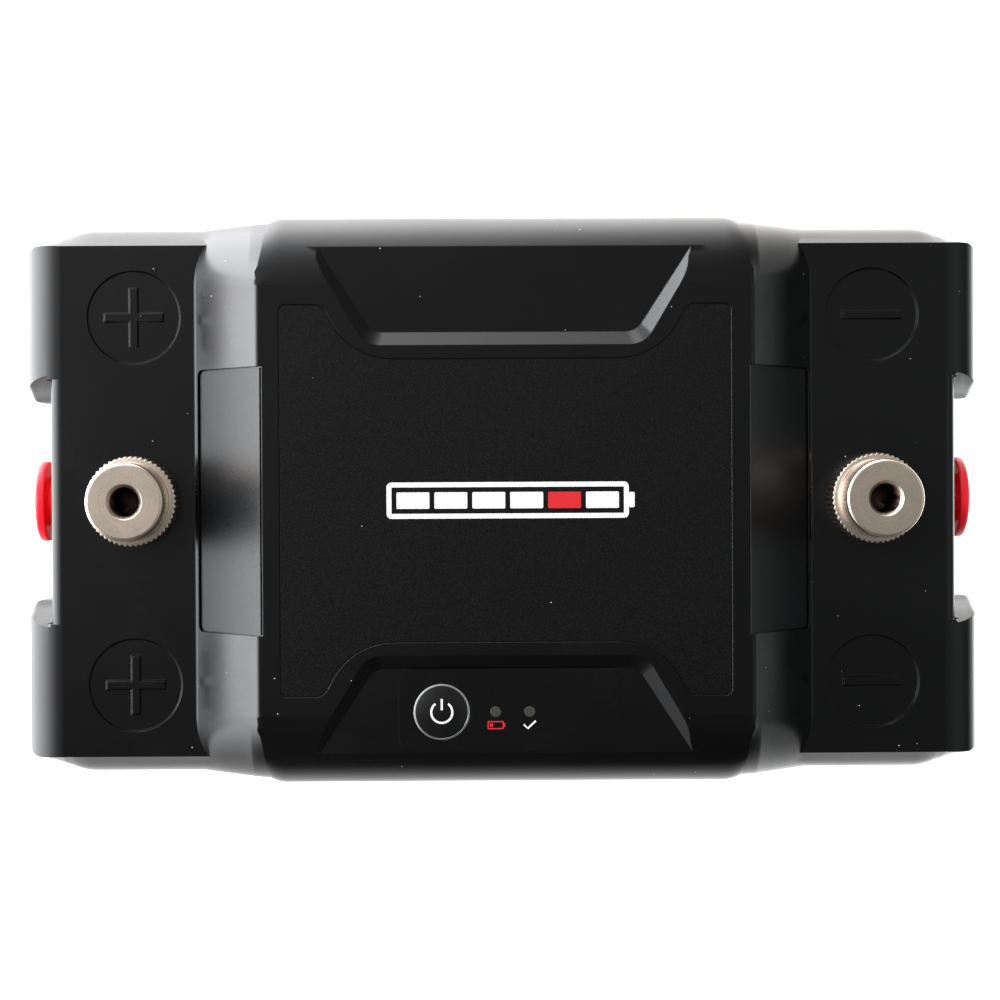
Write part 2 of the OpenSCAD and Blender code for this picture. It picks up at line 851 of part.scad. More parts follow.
module cell(i) {
    color("#3f6fb0") translate([0, cell_y(i), 0]) union() {
        translate([0, 0, cell_z]) linear_extrude(cell_h)
            polygon(rounded(box_pts(cell_l / 2, cell_t / 2), same(2, 4)));
        for (s = [-1, 1]) translate([s * cell_post_x, 0, 0]) {
            translate([0, 0, cell_top]) cylinder(d = cell_post_d, h = cell_post_h);
            translate([0, 0, cell_top]) cylinder(d = stud_d, h = stud_top - cell_top);
        }
        translate([0, 0, cell_top]) cylinder(d = 12, h = 0.6);
    }
}

module cell_1() {
    cell(1);
}

module cell_2() {
    cell(2);
}

module cell_3() {
    cell(3);
}

module cell_4() {
    cell(4);
}

module insulator(i) {
    color("#e4ddc8") translate([-cell_l / 2, cell_y(i) + cell_t / 2, cell_z])
        cube([cell_l, sheet_t, cell_h]);
}

module insulator_1() {
    insulator(1);
}

module insulator_2() {
    insulator(2);
}

module insulator_3() {
    insulator(3);
}

module busbar(i, side) {
    color("#b8693a") translate([side * cell_post_x, cell_y(i) + pitch / 2, busbar_z]) difference() {
        round_plate(8, pitch / 2 + 8, 3, bar_t);
        for (s = [-1, 1]) translate([0, s * pitch / 2, -1]) cylinder(d = stud_d + 0.2, h = bar_t + 2);
    }
}

module busbar_1_2() {
    busbar(1, 1);
}

module busbar_2_3() {
    busbar(2, -1);
}

module busbar_3_4() {
    busbar(3, 1);
}

module cell_nuts() {
    color("#c9ccd0") for (i = [1:4], s = [-1, 1])
        translate([s * cell_post_x, cell_y(i), busbar_z + bar_t]) union() {
            hex_nut(10, nut_h, stud_d + 0.1);
            pipe(14, stud_d + 0.1, 1.2);
        }
}

module strap(z) {
    color("#9aa0a6") translate([0, 0, z]) linear_extrude(strap_w) difference() {
        polygon(rounded(box_pts(cell_l / 2 + strap_t, stack_y + strap_t), same(2.4, 4)));
        polygon(rounded(box_pts(cell_l / 2 + eps, stack_y + eps), same(1.9, 4)));
    }
}

module strap_lower() {
    strap(strap_zs[0]);
}

module strap_upper() {
    strap(strap_zs[1]);
}

module base_pad() {
    color("#55585c") translate([-cell_l / 2, -stack_y, floor_z]) cube([cell_l, 2 * stack_y, pad_t]);
}

module side_foam(s) {
    y = s > 0 ? side_foam_y[0] : -side_foam_y[1];
    color("#55585c") translate([-cell_l / 2, y, floor_z + 0.2])
        cube([cell_l, side_foam_y[1] - side_foam_y[0], foam_top - floor_z - 0.2]);
}

module side_foam_front() {
    side_foam(-1);
}

module side_foam_back() {
    side_foam(1);
}

module end_foam() {
    color("#55585c") translate([end_foam_x[0], -end_foam_hy, floor_z + 0.2])
        cube([end_foam_x[1] - end_foam_x[0], 2 * end_foam_hy, cell_top - floor_z - 0.2]);
}

module end_foam_positive() {
    rotate([0, 0, 180]) end_foam();
}

module end_foam_negative() {
    end_foam();
}

// ---- Battery management board ----

module bms_corners() {
    for (x = [-1, 1], y = [-1, 1]) translate([x * bms_screw[0], y * bms_screw[1], 0]) children();
}

module mounting_plate() {
    color("#7d8a3c") difference() {
        translate([0, 0, foam_top]) round_plate(plate_size[0] / 2, plate_size[1] / 2, 2, plate_t);
        bms_corners() translate([0, 0, foam_top - 1]) cylinder(d = 4.2, h = plate_t + 2);
    }
}

module bms_standoffs() {
    color("#c8a44a") bms_corners() difference() {
        union() {
            translate([0, 0, foam_top + plate_t]) cylinder(d = 6.4, h = standoff_h, $fn = 6);
            translate([0, 0, foam_top]) cylinder(d = 4, h = plate_t + 1);
        }
        translate([0, 0, bms_z - 6]) cylinder(d = 3, h = 8);
    }
}

module bms_board() {
    color("#1c5a33") difference() {
        union() {
            translate([0, 0, bms_z]) round_plate(bms_size[0] / 2, bms_size[1] / 2, 2, board_t);
            for (x = [-40:13.3:40], y = [-12, 12])
                translate([x - 5, y - 4.5, bms_top]) cube([10, 9, mosfet_h]);
            translate([ribbon_x - 5, -37, bms_top]) cube([10, 6, connector_h]);
            translate([-9, 31, bms_top]) cube([18, 6, connector_h]);
        }
        bms_corners() translate([0, 0, bms_z - 1]) cylinder(d = 3.4, h = 4);
        for (s = [-1, 1]) translate([s * bms_lug_x, s * bms_lug_y, bms_z - 1]) cylinder(d = 5, h = 4);
    }
}

module bms_heat_sink() {
    base = bms_top + mosfet_h;
    color("#a9adb2") union() {
        translate([-sink_size[0] / 2, -sink_size[1] / 2, base]) cube([sink_size[0], sink_size[1], sink_base]);
        for (i = [0:8]) translate([-sink_size[0] / 2, -sink_size[1] / 2 + i * (sink_size[1] - 1.6) / 8, base])
            cube([sink_size[0], 1.6, sink_base + fin_h]);
    }
}

module bms_screws() {
    color("#b9bcc0") {
        bms_corners() {
            translate([0, 0, bms_top]) cylinder(d = 5.6, h = 2);
            translate([0, 0, bms_z - 5]) cylinder(d = 2.9, h = board_t + 5);
        }
        for (s = [-1, 1]) translate([s * bms_lug_x, s * bms_lug_y, 0]) {
            translate([0, 0, bms_top + bar_t]) cylinder(d = 8.5, h = 3);
            translate([0, 0, bms_z - 2]) cylinder(d = 4.9, h = board_t + bar_t + 2);
        }
    }
}

// ---- Cables ----

// Ring lug lying flat, with its barrel along +X
module lug(hole_d) {
    lift = lug_barrel_d / 2;
    difference() {
        union() {
            cylinder(d = lug_ring_d, h = bar_t);
            translate([0, -4, 0]) cube([lug_barrel[0] + 1, 8, bar_t]);
            translate([lug_barrel[0], 0, lift]) rotate([0, 90, 0])
                cylinder(d = lug_barrel_d, h = lug_barrel[1] - lug_barrel[0]);
        }
        translate([0, 0, -1]) cylinder(d = hole_d, h = bar_t + 2);
    }
}

module cable_lugs() {
    color("#c9b8a4") {
        for (i = [1, 4]) translate([-cell_post_x, cell_y(i), busbar_z]) rotate([0, 0, 180]) lug(stud_d + 0.2);
        both_ends() translate([terminal_x, -tab_y, bracket_z]) rotate([180, 0, -90]) lug(stud_d + 0.2);
        for (s = [-1, 1]) translate([s * bms_lug_x, s * bms_lug_y, bms_top])
            rotate([0, 0, s > 0 ? 0 : 180]) lug(5);
    }
}

module lead(route, tint) {
    color(tint) sweep(smooth(route, 4), cable_d, cable_d, [0.3, 1, 0.2]);
}

module cable_positive() {
    y0 = cell_y(4);
    z0 = busbar_z + lug_barrel_d / 2;
    z1 = bracket_z - lug_barrel_d / 2;
    mouth = tab_y + lug_barrel[1];
    x0 = -cell_post_x - lug_barrel[1];
    lead([[x0, y0, z0], [x0 - 5, y0, z0], [x0 - 11, y0 + 1, z0 + 3], [x0 - 15, y0 + 4, z0 + 10],
        [-terminal_x - 1, 50, 160], [-terminal_x, 54.5, 167], [-terminal_x, 54.5, z1 - 2],
        [-terminal_x, 51, z1], [-terminal_x, mouth, z1]], "#b5161c");
}

module cable_cell_negative() {
    y0 = cell_y(1);
    z0 = busbar_z + lug_barrel_d / 2;
    z1 = bms_top + lug_barrel_d / 2;
    x0 = -cell_post_x - lug_barrel[1];
    x1 = -bms_lug_x - lug_barrel[1];
    lead([[x0, y0, z0], [x0 - 6, y0, z0], [x0 - 13, y0, z0 + 3], [x0 - 16, y0 + 1, z0 + 10],
        [x0 - 14, y0 + 4, z0 + 18], [x1 - 8, y0 + 7, z1 + 0.5], [x1 - 4, -bms_lug_y, z1],
        [x1, -bms_lug_y, z1]], "#1a1a1c");
}

module cable_output_negative() {
    z0 = bms_top + lug_barrel_d / 2;
    z1 = bracket_z - lug_barrel_d / 2;
    x0 = bms_lug_x + lug_barrel[1];
    mouth = -tab_y - lug_barrel[1];
    lead([[x0, bms_lug_y, z0], [x0 + 5, bms_lug_y, z0], [x0 + 12, 30, z0 - 2], [x0 + 17, 20, z0 - 6],
        [x0 + 19, 0, 152], [x0 + 19, -25, 151], [terminal_x + 1, -45, 156],
        [terminal_x, -54, 165], [terminal_x, -54.5, z1 - 2], [terminal_x, -51, z1],
        [terminal_x, mouth, z1]], "#1a1a1c");
}

// Five sense leads from the connector, round the board's edge, to the joints between the cells
sense_pin = [0, 1, -1, 2, -2];
sense_side = [
    [[-42, 43.5], [-55, 15], [-63, -25], [-64, cell_y(1)]],
    [[44, 40.5], [50, 8], [52.5, -18], [cell_post_x, -pitch]],
    [[-40, 43], [-49, 24], [-52, 6], [-cell_post_x, 0]],
    [[28, 47], [43, 43], [51, 33], [cell_post_x, pitch]],
    [[-30, 46.5], [-46, 45], [-60, 43], [-64, cell_y(4)]]];

module balance_leads() {
    z0 = bms_top + connector_h;
    color("#8a3b3b") for (k = [0:4]) {
        x = sense_pin[k] * 3.2;
        way = sense_side[k];
        out = way[3][0] > 0 ? 1 : -1;
        z = foam_top + plate_t + 1.2 + 1.45 * k;
        foot = abs(way[3][0]) > cell_post_x ? busbar_z + lug_barrel_d : busbar_z + bar_t;
        route = concat(
            [[x, 34, z0], [x, 34, z0 + 2], [x, 38, z0 + 3.5], [x + out, 45, z0 + 1],
                [x + 3 * out, 48.5, 160], [x + 7 * out, 49.5 - k / 2, z + 1]],
            [for (i = [0:2]) [way[i][0], way[i][1], i == 2 ? min(z, 151) : z]],
            [[way[3][0], way[3][1], foot + 2.5], [way[3][0], way[3][1], foot]]);
        sweep(smooth(route, 3), 1.6, 1.6, [0.3, 0.5, 0.1]);
    }
}

case();
lid();
lid_seal();
top_label();
slope_label_positive();
slope_label_negative();
front_label();
back_label();
button_film();
power_button();
switch_plunger();
tact_switch();
lens_low();
lens_ok();
indicator_board();
indicator_screws();
indicator_ribbon();
terminal_positive();
terminal_negative();
terminal_seal_positive();
terminal_seal_negative();
terminal_nuts();
bracket_positive();
bracket_negative();
side_terminal_positive();
side_terminal_negative();
side_plug_positive();
side_plug_negative();
tab_bolts();
tab_nuts();
cell_1();
cell_2();
cell_3();
cell_4();
insulator_1();
insulator_2();
insulator_3();
busbar_1_2();
busbar_2_3();
busbar_3_4();
cell_nuts();
strap_lower();
strap_upper();
base_pad();
side_foam_front();
side_foam_back();
end_foam_positive();
end_foam_negative();
mounting_plate();
bms_standoffs();
bms_board();
bms_heat_sink();
bms_screws();
cable_lugs();
cable_positive();
cable_cell_negative();
cable_output_negative();
balance_leads();
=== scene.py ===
"""Looks of a 12 V deep cycle battery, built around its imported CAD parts.

Outlines are worked out in millimetres in the frame of the CAD model, and every mesh is
scaled to metres when it is made. X runs along the length, Y across it and Z up.
"""

import math

import bmesh
import bpy
from mathutils import Euler, Matrix, Vector


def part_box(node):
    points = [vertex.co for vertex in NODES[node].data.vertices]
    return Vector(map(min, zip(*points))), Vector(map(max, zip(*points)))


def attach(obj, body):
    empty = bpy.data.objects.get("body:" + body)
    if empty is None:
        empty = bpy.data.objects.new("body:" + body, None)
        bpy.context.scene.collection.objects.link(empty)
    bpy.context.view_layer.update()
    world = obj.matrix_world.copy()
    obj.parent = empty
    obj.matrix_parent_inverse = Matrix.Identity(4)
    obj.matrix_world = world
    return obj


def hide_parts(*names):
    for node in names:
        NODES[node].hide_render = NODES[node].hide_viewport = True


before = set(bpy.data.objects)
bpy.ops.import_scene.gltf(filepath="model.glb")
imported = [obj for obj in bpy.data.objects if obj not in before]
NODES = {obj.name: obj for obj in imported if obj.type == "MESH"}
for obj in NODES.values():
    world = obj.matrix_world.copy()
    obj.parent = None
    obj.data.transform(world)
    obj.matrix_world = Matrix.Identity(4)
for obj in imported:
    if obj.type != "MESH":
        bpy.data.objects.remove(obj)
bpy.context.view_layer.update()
MM = 0.001


# ---- Sizes, in millimetres ----


def mm_box(node):
    low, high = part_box(node)
    return low / MM, high / MM


def mm_centre(node):
    low, high = mm_box(node)
    return (low + high) / 2


LID_LOW, LID_HIGH = mm_box("lid")
HALF_L = LID_HIGH.x
HALF_BAND = LID_HIGH.y
TOP = LID_HIGH.z
SPLIT = LID_LOW.z
DECK = mm_box("terminal_seal_negative")[1].z
HUMP_H = TOP - DECK
WALL = 3.2

HALF_END = HALF_BAND - 1.2
HUMP_X = 57.4
BASE_X = HUMP_X + 16.2
SLOPE = math.atan2(HUMP_H, BASE_X - HUMP_X)
CREST_R = 1.2
FOOT_R = 1.2
END_R = 9
HUMP_FLAT_Y = 50
HUMP_R = HALF_BAND - HUMP_FLAT_Y
DECK_FLAT_Y = HALF_END - 4.8
FACET_H = 8.2
FACET_R = 20
SADDLE_R, SADDLE_FOOT_R = 16, 13.5
BAND_R = 7
BAND_END = HUMP_X + 1.2
BAND_X = BAND_END - BAND_R
UNDERLAP = 0.03
CORNER_X, CORNER_Y = 101.5, 60.3
CORNER_SIDE_R, CORNER_END_R = 12, 2.5

CHANNEL_X = HALF_L - 6.3
CHANNEL_Y, MOUTH_Y = 24.2, 30.3
FUNNEL_H = 14
CHANNEL_EDGE_R = 1.4
CHANNEL_CREST_R = 2.6
CHANNEL_INNER_R, CHANNEL_INNER_CUT = 0.8, 0.25

RECESS_Z = mm_box("button_film")[0].z
RECESS_X, RECESS_Y = 32.3, 35.9
RECESS_FLARE = 0.593
RECESS_WALL = 3.1
RECESS_R = 6
RECESS_END_Y = 72

FILM_T = 0.3
LABEL_GAP = 0.25
LABEL_HX, LABEL_HY = 52.3, 45.35
LABEL_EAR_X, LABEL_NOTCH_X, LABEL_NOTCH_Y = 42.3, 35.5, 32.8
LABEL_RADII = (1.6, 3, 16)
LABEL_POCKET = 0.45
SLOPE_POCKET = 0.9
SLOPE_LABEL_Y = 30.9
SLOPE_LABEL_FOOT, SLOPE_LABEL_CREST, SLOPE_LABEL_R = 1.2, 0.85, 1.6

MARK_X, MARK_Y = 88.2, 43.9
MARK_D, MARK_DEPTH = 22.3, 0.6
MARK_ARM, MARK_BAR = 13.8, 1.8
MARK_DRAFT = 0.25

BUTTON = mm_centre("power_button")
LENSES = [mm_centre(f"lens_{name}") for name in ("low", "ok")]
POST = mm_centre("terminal_negative")
SIDE_AXIS_Z = mm_centre("side_plug_negative").z

POST_BORE_R, POST_BORE_DEPTH = 8.1, 12
SEAL_SEAT_R, SEAL_SEAT_DEPTH = 10.4, 1
SIDE_BORE_X, SIDE_BORE_R = 95, 6.3
BUTTON_HOLE_R, BUTTON_SEAT_DEPTH = 6.75, 1.7
STEM_HOLE_R, LENS_HOLE_R, SHELF_T = 2.5, 1.3, 8
GROOVE_INSETS, GROOVE_H = (1.6, 4.2), 4
CAVITY_R = 6
TROUGH_X, TROUGH_FOOT_X, TROUGH_Y, TROUGH_DROP = 57.5, 70, 58, 5
ATTIC_X, ATTIC_Y, ATTIC_R = 52, 33, 3
BOSS_R, SCREW_POST_R, SCREW_INSET = 14, 3, 2.2
CUT_PAST = 6


# ---- Numbers and outlines ----


def lerp(a, b, t):
    return a + (b - a) * t


def clamp(x, low=0.0, high=1.0):
    return max(low, min(high, x))


def smooth(t):
    t = clamp(t)
    return t * t * (3 - 2 * t)


def spread(count):
    """Shares from 0 to 1 in that many equal steps."""
    return [i / count for i in range(count + 1)]


def arc(cx, cy, r, start, end, steps):
    """Points on an arc, with its angles in degrees."""
    angles = [math.radians(lerp(start, end, t)) for t in spread(steps)]
    return [(cx + r * math.cos(a), cy + r * math.sin(a)) for a in angles]


def corner(before, point, after, r, steps):
    a, p, b = Vector(before), Vector(point), Vector(after)
    u, v = (a - p).normalized(), (b - p).normalized()
    half = u.angle(v) / 2
    centre = p + (u + v).normalized() * r / math.sin(half)
    first = p + u * r / math.tan(half) - centre
    turn = (math.pi - 2 * half) * (-1 if u.cross(v) > 0 else 1)
    start = math.atan2(first.y, first.x)
    angles = [start + turn * t for t in spread(steps)]
    return [(centre.x + r * math.cos(t), centre.y + r * math.sin(t)) for t in angles]


def rounded(points, radii, steps=8, closed=True):
    """The outline with each corner rounded; a radius of 0 keeps the corner."""
    out = []
    for i, p in enumerate(points):
        end = not closed and i in (0, len(points) - 1)
        if end or not radii[i]:
            out.append(tuple(p))
            continue
        out += corner(points[i - 1], p, points[(i + 1) % len(points)], radii[i], steps)
    return out


def round_box(half_x, half_y, r, steps=8):
    points = [(half_x, half_y), (-half_x, half_y), (-half_x, -half_y), (half_x, -half_y)]
    return rounded(points, [r] * 4, steps)


def four_ways(quarter):
    """An outline from its points in the +X +Y quarter."""
    back = list(quarter) + [(-x, y) for x, y in reversed(quarter)]
    return back + [(-x, -y) for x, y in back]


def read_line(line, x):
    """Height of a polyline at x."""
    for (x0, y0), (x1, y1) in zip(line, line[1:]):
        if x <= x1 and x1 > x0:
            return lerp(y0, y1, clamp((x - x0) / (x1 - x0)))
    return line[-1][1]


# ---- Meshes ----


def new_object(name, mesh, bm):
    bm.to_mesh(mesh)
    bm.free()
    obj = bpy.data.objects.new(name, mesh)
    bpy.context.scene.collection.objects.link(obj)
    return obj


def build(name, points, faces, place=None):
    """A mesh object from points in millimetres."""
    matrix = place or Matrix.Identity(4)
    mesh = bpy.data.meshes.new(name)
    mesh.from_pydata([(matrix @ Vector(p)) * MM for p in points], [], faces)
    bm = bmesh.new()
    bm.from_mesh(mesh)
    bmesh.ops.remove_doubles(bm, verts=bm.verts, dist=1e-7)
    bmesh.ops.recalc_face_normals(bm, faces=bm.faces)
    return new_object(name, mesh, bm)


def loft(name, rings, ring_closed=False, place=None):
    """A closed solid through rings of equally many points. Its ends are capped or joined."""
    n, m = len(rings[0]), len(rings)
    points = [p for ring in rings for p in ring]
    spans = m if ring_closed else m - 1
    faces = [
        (i * n + j, i * n + (j + 1) % n, (i + 1) % m * n + (j + 1) % n, (i + 1) % m * n + j)
        for i in range(spans)
        for j in range(n)
    ]
    if not ring_closed:
        faces += [tuple(range(n)), tuple(range((m - 1) * n, m * n))]
    return build(name, points, faces, place)


def prism(name, outline, low, high, place=None):
    return loft(name, [[(x, y, z) for x, y in outline] for z in (low, high)], place=place)


def plate(name, outline, low, high, edge, place=None):
    """A thin sheet with small rounded edges at its top."""
    centre = Vector((sum(p[0] for p in outline), sum(p[1] for p in outline))) / len(outline)
    rings = []
    for inset, z in ((0, low), (0, high - edge), (0.3 * edge, high - 0.3 * edge), (edge, high)):
        rings.append([(*inset_point(outline, i, inset, centre), z) for i in range(len(outline))])
    return loft(name, rings, place=place)


def inset_point(outline, i, inset, centre):
    """The outline's point i moved inwards along its normal."""
    p = Vector(outline[i])
    tangent = Vector(outline[(i + 1) % len(outline)]) - Vector(outline[i - 1])
    normal = Vector((tangent.y, -tangent.x)).normalized()
    inward = -normal if normal.dot(p - centre) > 0 else normal
    return tuple(p + inward * inset)


def faces_round(radii, steps):
    """Faces between equal profiles set round an axis. A radius of 0 lies on the axis."""
    n = len(radii)
    faces = []
    for i in range(steps):
        a, b = i * n, (i + 1) % steps * n
        for j in range(n - 1):
            quad = [a + j, b + j, b + j + 1, a + j + 1]
            if radii[j] == 0:
                quad.pop(1)
            elif radii[j + 1] == 0:
                quad.pop(2)
            faces.append(quad)
    return faces


def lathe(name, profile, steps=96, place=None):
    """A solid round Z. The profile's (radius, height) points start and end on the axis."""
    turns = [2 * math.pi * t / steps for t in range(steps)]
    points = [(r * math.cos(a), r * math.sin(a), z) for a in turns for r, z in profile]
    return build(name, points, faces_round([r for r, _ in profile], steps), place)


def cylinder(name, r, low, high, place=None, steps=64):
    return lathe(name, [(0, low), (r, low), (r, high), (0, high)], steps, place)


def upright(name, r, low, high, spot, steps=64):
    """A cylinder that stands at the spot."""
    return cylinder(name, r, low, high, turned(spot[0], spot[1], 0), steps)


def join(name, parts):
    """One object from several that don't touch."""
    bm = bmesh.new()
    for part in parts:
        bm.from_mesh(part.data)
        bpy.data.objects.remove(part)
    return new_object(name, bpy.data.meshes.new(name), bm)


def apply_modifiers(obj):
    graph = bpy.context.evaluated_depsgraph_get()
    mesh = bpy.data.meshes.new_from_object(obj.evaluated_get(graph))
    obj.modifiers.clear()
    obj.data = mesh
    return obj


def combine(obj, *tools, operation="DIFFERENCE"):
    """Cuts the tools from the object, or adds them to it."""
    for tool in tools:
        cut = obj.modifiers.new("cut", "BOOLEAN")
        cut.operation = operation
        cut.solver = "MANIFOLD"
        cut.object = tool
        apply_modifiers(obj)
        bpy.data.objects.remove(tool)
    return obj


def shade(obj, sharp=32):
    """Smooth shading that keeps sharp edges and lets the flats stay flat."""
    mesh = obj.data
    mesh.polygons.foreach_set("use_smooth", [True] * len(mesh.polygons))
    mesh.set_sharp_from_angle(angle=math.radians(sharp))
    weighted = obj.modifiers.new("normals", "WEIGHTED_NORMAL")
    weighted.keep_sharp = True
    weighted.weight = 80
    return obj


def finish_piece(obj, body, material):
    """Gives a finished piece its material and its body."""
    obj.data.materials.clear()
    obj.data.materials.append(material)
    shade(obj)
    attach(obj, body)


def replace_node(obj, body, node, slot, material=None):
    """Puts a finished piece in the place of a CAD part."""
    finish_piece(obj, body, material or MATERIALS[slot])
    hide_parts(node)


def turned(x, y, z, axis="Z"):
    """Placement whose own Z axis points along the given axis."""
    turns = {"Z": (0, 0, 0), "X": (0, math.pi / 2, 0), "-X": (0, -math.pi / 2, 0)}
    return Matrix.Translation((x, y, z)) @ Euler(turns[axis]).to_matrix().to_4x4()


def slope_place(side):
    """Own X runs down the slope from its crest, and own Z points out of it."""
    turn = Matrix.Rotation(0 if side > 0 else math.pi, 4, "Z")
    return turn @ Matrix.Translation((HUMP_X, 0, TOP)) @ Matrix.Rotation(SLOPE, 4, "Y")


# ---- Lid ----

HUMP_RIDGE = rounded(
    [(0, TOP), (HUMP_X, TOP), (BASE_X, DECK - UNDERLAP), (BASE_X + 5, DECK - UNDERLAP)],
    [0, CREST_R, FOOT_R, 0],
    8,
    closed=False,
)
DECK_RIDGE = rounded(
    [(0, DECK), (HALF_L, DECK), (HALF_L, SPLIT)], [0, END_R, 0], 12, closed=False
)
FLANK = rounded(
    [(0, HALF_END), (CORNER_X, HALF_END), (HALF_L, CORNER_Y), (HALF_L, 0)],
    [0, CORNER_SIDE_R, CORNER_END_R, 0],
    8,
    closed=False,
)
FACET = rounded(
    [(0, HALF_END - DECK_FLAT_Y), (FACET_H, 0), (4 * FACET_H, 0)],
    [0, FACET_R, 0],
    16,
    closed=False,
)
FLAT_ROWS = (0, 0.3, 0.6, 0.8, 0.87, 0.91, 0.94, 0.97, 0.998, 1)
ARC_ROWS = spread(14)[1:]
ROWS = [(t, False) for t in FLAT_ROWS] + [(t, True) for t in ARC_ROWS]
HUMP_STATIONS = (0, 20, 40, 47, BAND_X - 0.1, BAND_X)
EDGE_STEPS, CREST_STEP = 8, 3
CREST_SHARES = (0.4, 0.8, 0.985, 1)
EDGE_GAP, CREST_GAP = 0.1, 0.25
SLOPE_STATIONS = (0.3, 1, 2, 3, 4.5, 6.5, 9, 11)
DECK_STATIONS = (0, 30, 60, 70, 80, 90, 98, HALF_L - END_R - 0.1)
DECK_LEAN_LEAST = 0.08
END_STATIONS_X = 95
SADDLE_START, SADDLE_END = BAND_END - 0.4, HUMP_X + 9


def saddle_section(x):
    """Half width, edge radius and top of the slope's section at x."""
    share = smooth((x - HUMP_X) / (BASE_X - HUMP_X))
    half = HALF_END - UNDERLAP - 0.2 * max(0, x - BASE_X)
    return half, lerp(SADDLE_R, SADDLE_FOOT_R, share), read_line(HUMP_RIDGE, x)


def on_saddle(x, reach):
    """Point of the slope's section at a distance from its middle, along its top and edge."""
    half, radius, top = saddle_section(x)
    if reach <= half - radius:
        return reach, top
    angle = (reach - half + radius) / radius
    return half - radius + radius * math.sin(angle), top - radius + radius * math.cos(angle)


def saddle_reach(x, row, is_arc):
    half, radius, _ = saddle_section(x)
    return half - radius + radius * math.pi / 2 * row if is_arc else (half - radius) * row


def saddle_height(x, y):
    """Height of the slope's surface over a point, or nothing outside it."""
    half, radius, top = saddle_section(x)
    if y >= half:
        return None
    depth = max(0, y - half + radius)
    return top - radius + math.sqrt(radius**2 - depth**2)


def band_point(turn, angle):
    """The hump's rounded edge; turn goes round its vertical corner and angle down from the top."""
    radius = HUMP_R - BAND_R + BAND_R * math.cos(turn)
    y = HUMP_FLAT_Y + radius * math.sin(angle)
    return BAND_X + BAND_R * math.sin(turn), y, TOP - radius + radius * math.cos(angle)


def hump_keeps(turn, angle):
    """True where the hump's edge still stands proud of the slope and its flank."""
    x, y, z = band_point(turn, angle)
    if z > TOP - max(0, x - HUMP_X) * math.tan(SLOPE):
        return False
    height = saddle_height(x, y)
    return height is None or z > height


def last_turn(angle):
    """How far the hump's edge turns round its corner before it sinks into the slope."""
    step = math.pi / 2 / 45
    turn = 0.0
    while turn < math.pi / 2 and hump_keeps(turn + step, angle):
        turn += step
    low, high = turn, turn + step
    for _ in range(12):
        middle = (low + high) / 2
        if hump_keeps(middle, angle):
            low = middle
        else:
            high = middle
    return min(low, math.pi / 2)


def down_to_split(column):
    """The column with one more point straight below its last one."""
    x, y, _ = column[-1]
    return column + [(x, y, SPLIT)]


def hump_top_columns():
    """Columns over the hump's even stretch."""
    columns = []
    for x in HUMP_STATIONS:
        column = [(x, HUMP_FLAT_Y * t, TOP) for t in FLAT_ROWS]
        column += [(x, *band_point(0, t * math.pi / 2)[1:]) for t in ARC_ROWS]
        columns.append(column + [(x, HALF_BAND, SPLIT)])
    return columns


def hump_edge_columns():
    """Columns over the crest and round the hump's vertical corner."""
    columns = []
    crest_x = HUMP_X - CREST_R * math.tan(SLOPE / 2)
    turns = [last_turn(row * math.pi / 2) for row in ARC_ROWS]
    for k in range(1, EDGE_STEPS + 1):
        a = SLOPE * clamp((k - CREST_STEP) / (EDGE_STEPS - CREST_STEP))
        share = CREST_SHARES[min(k, len(CREST_SHARES)) - 1]
        x = lerp(BAND_X, crest_x, share) + CREST_R * math.sin(a)
        z = TOP - CREST_R + CREST_R * math.cos(a)
        column = [(x, HUMP_FLAT_Y * t, z) for t in FLAT_ROWS]
        for row, turn in zip(ARC_ROWS, turns):
            column.append(band_point(turn * k / EDGE_STEPS, row * math.pi / 2))
        columns.append(down_to_split(column))
    return columns


def slope_columns(edge):
    """Columns over the slope and its rounded flank, from the hump's last column outwards."""
    foot, reaches = [], []
    for (_, is_arc), (x, y, z) in zip(ROWS, edge):
        x += EDGE_GAP if is_arc else CREST_GAP
        half, radius, top = saddle_section(x)
        inner = half - radius
        angle = clamp(math.atan2(y - inner, z - top + radius), 0, math.pi / 2)
        reach = y if y < inner else inner + radius * angle
        foot.append((x, *on_saddle(x, reach)))
        reaches.append(reach)
    columns = [down_to_split(foot)]
    stations = [BAND_END + t for t in SLOPE_STATIONS]
    stations += [x for x, _ in HUMP_RIDGE if x > BASE_X - 2 * FOOT_R]
    for x in distinct(stations):
        share = smooth((x - SADDLE_START) / (SADDLE_END - SADDLE_START))
        column = []
        for (row, is_arc), reach in zip(ROWS, reaches):
            column.append((x, *on_saddle(x, lerp(reach, saddle_reach(x, row, is_arc), share))))
        columns.append(down_to_split(column))
    return columns


def hump_columns():
    """Columns of points over a quarter of the hump and its slope."""
    edge = hump_edge_columns()
    return hump_top_columns() + edge + slope_columns(edge[-1])


def deck_columns():
    """Columns of points over a quarter of the decks: flat top, drafted flank and round end."""
    stations = [x for x, _ in DECK_RIDGE + FLANK if x > END_STATIONS_X]
    columns = []
    for x in distinct(stations + list(DECK_STATIONS)):
        half, top = read_line(FLANK, x), read_line(DECK_RIDGE, x)
        lean = clamp((half - DECK_FLAT_Y) / (HALF_END - DECK_FLAT_Y), DECK_LEAN_LEAST)
        column = []
        for row, is_arc in ROWS:
            z = lerp(top, DECK - 2 * FACET_H, row) if is_arc else top
            y = half - lean * read_line(FACET, DECK - z)
            column.append((x, y if is_arc else y * row, z))
        columns.append(column + [(x, half, SPLIT)])
    return columns


def distinct(values, gap=0.02):
    """The values in order, without near repeats."""
    out = []
    for v in sorted(values):
        if not out or v - out[-1] > gap:
            out.append(v)
    return out


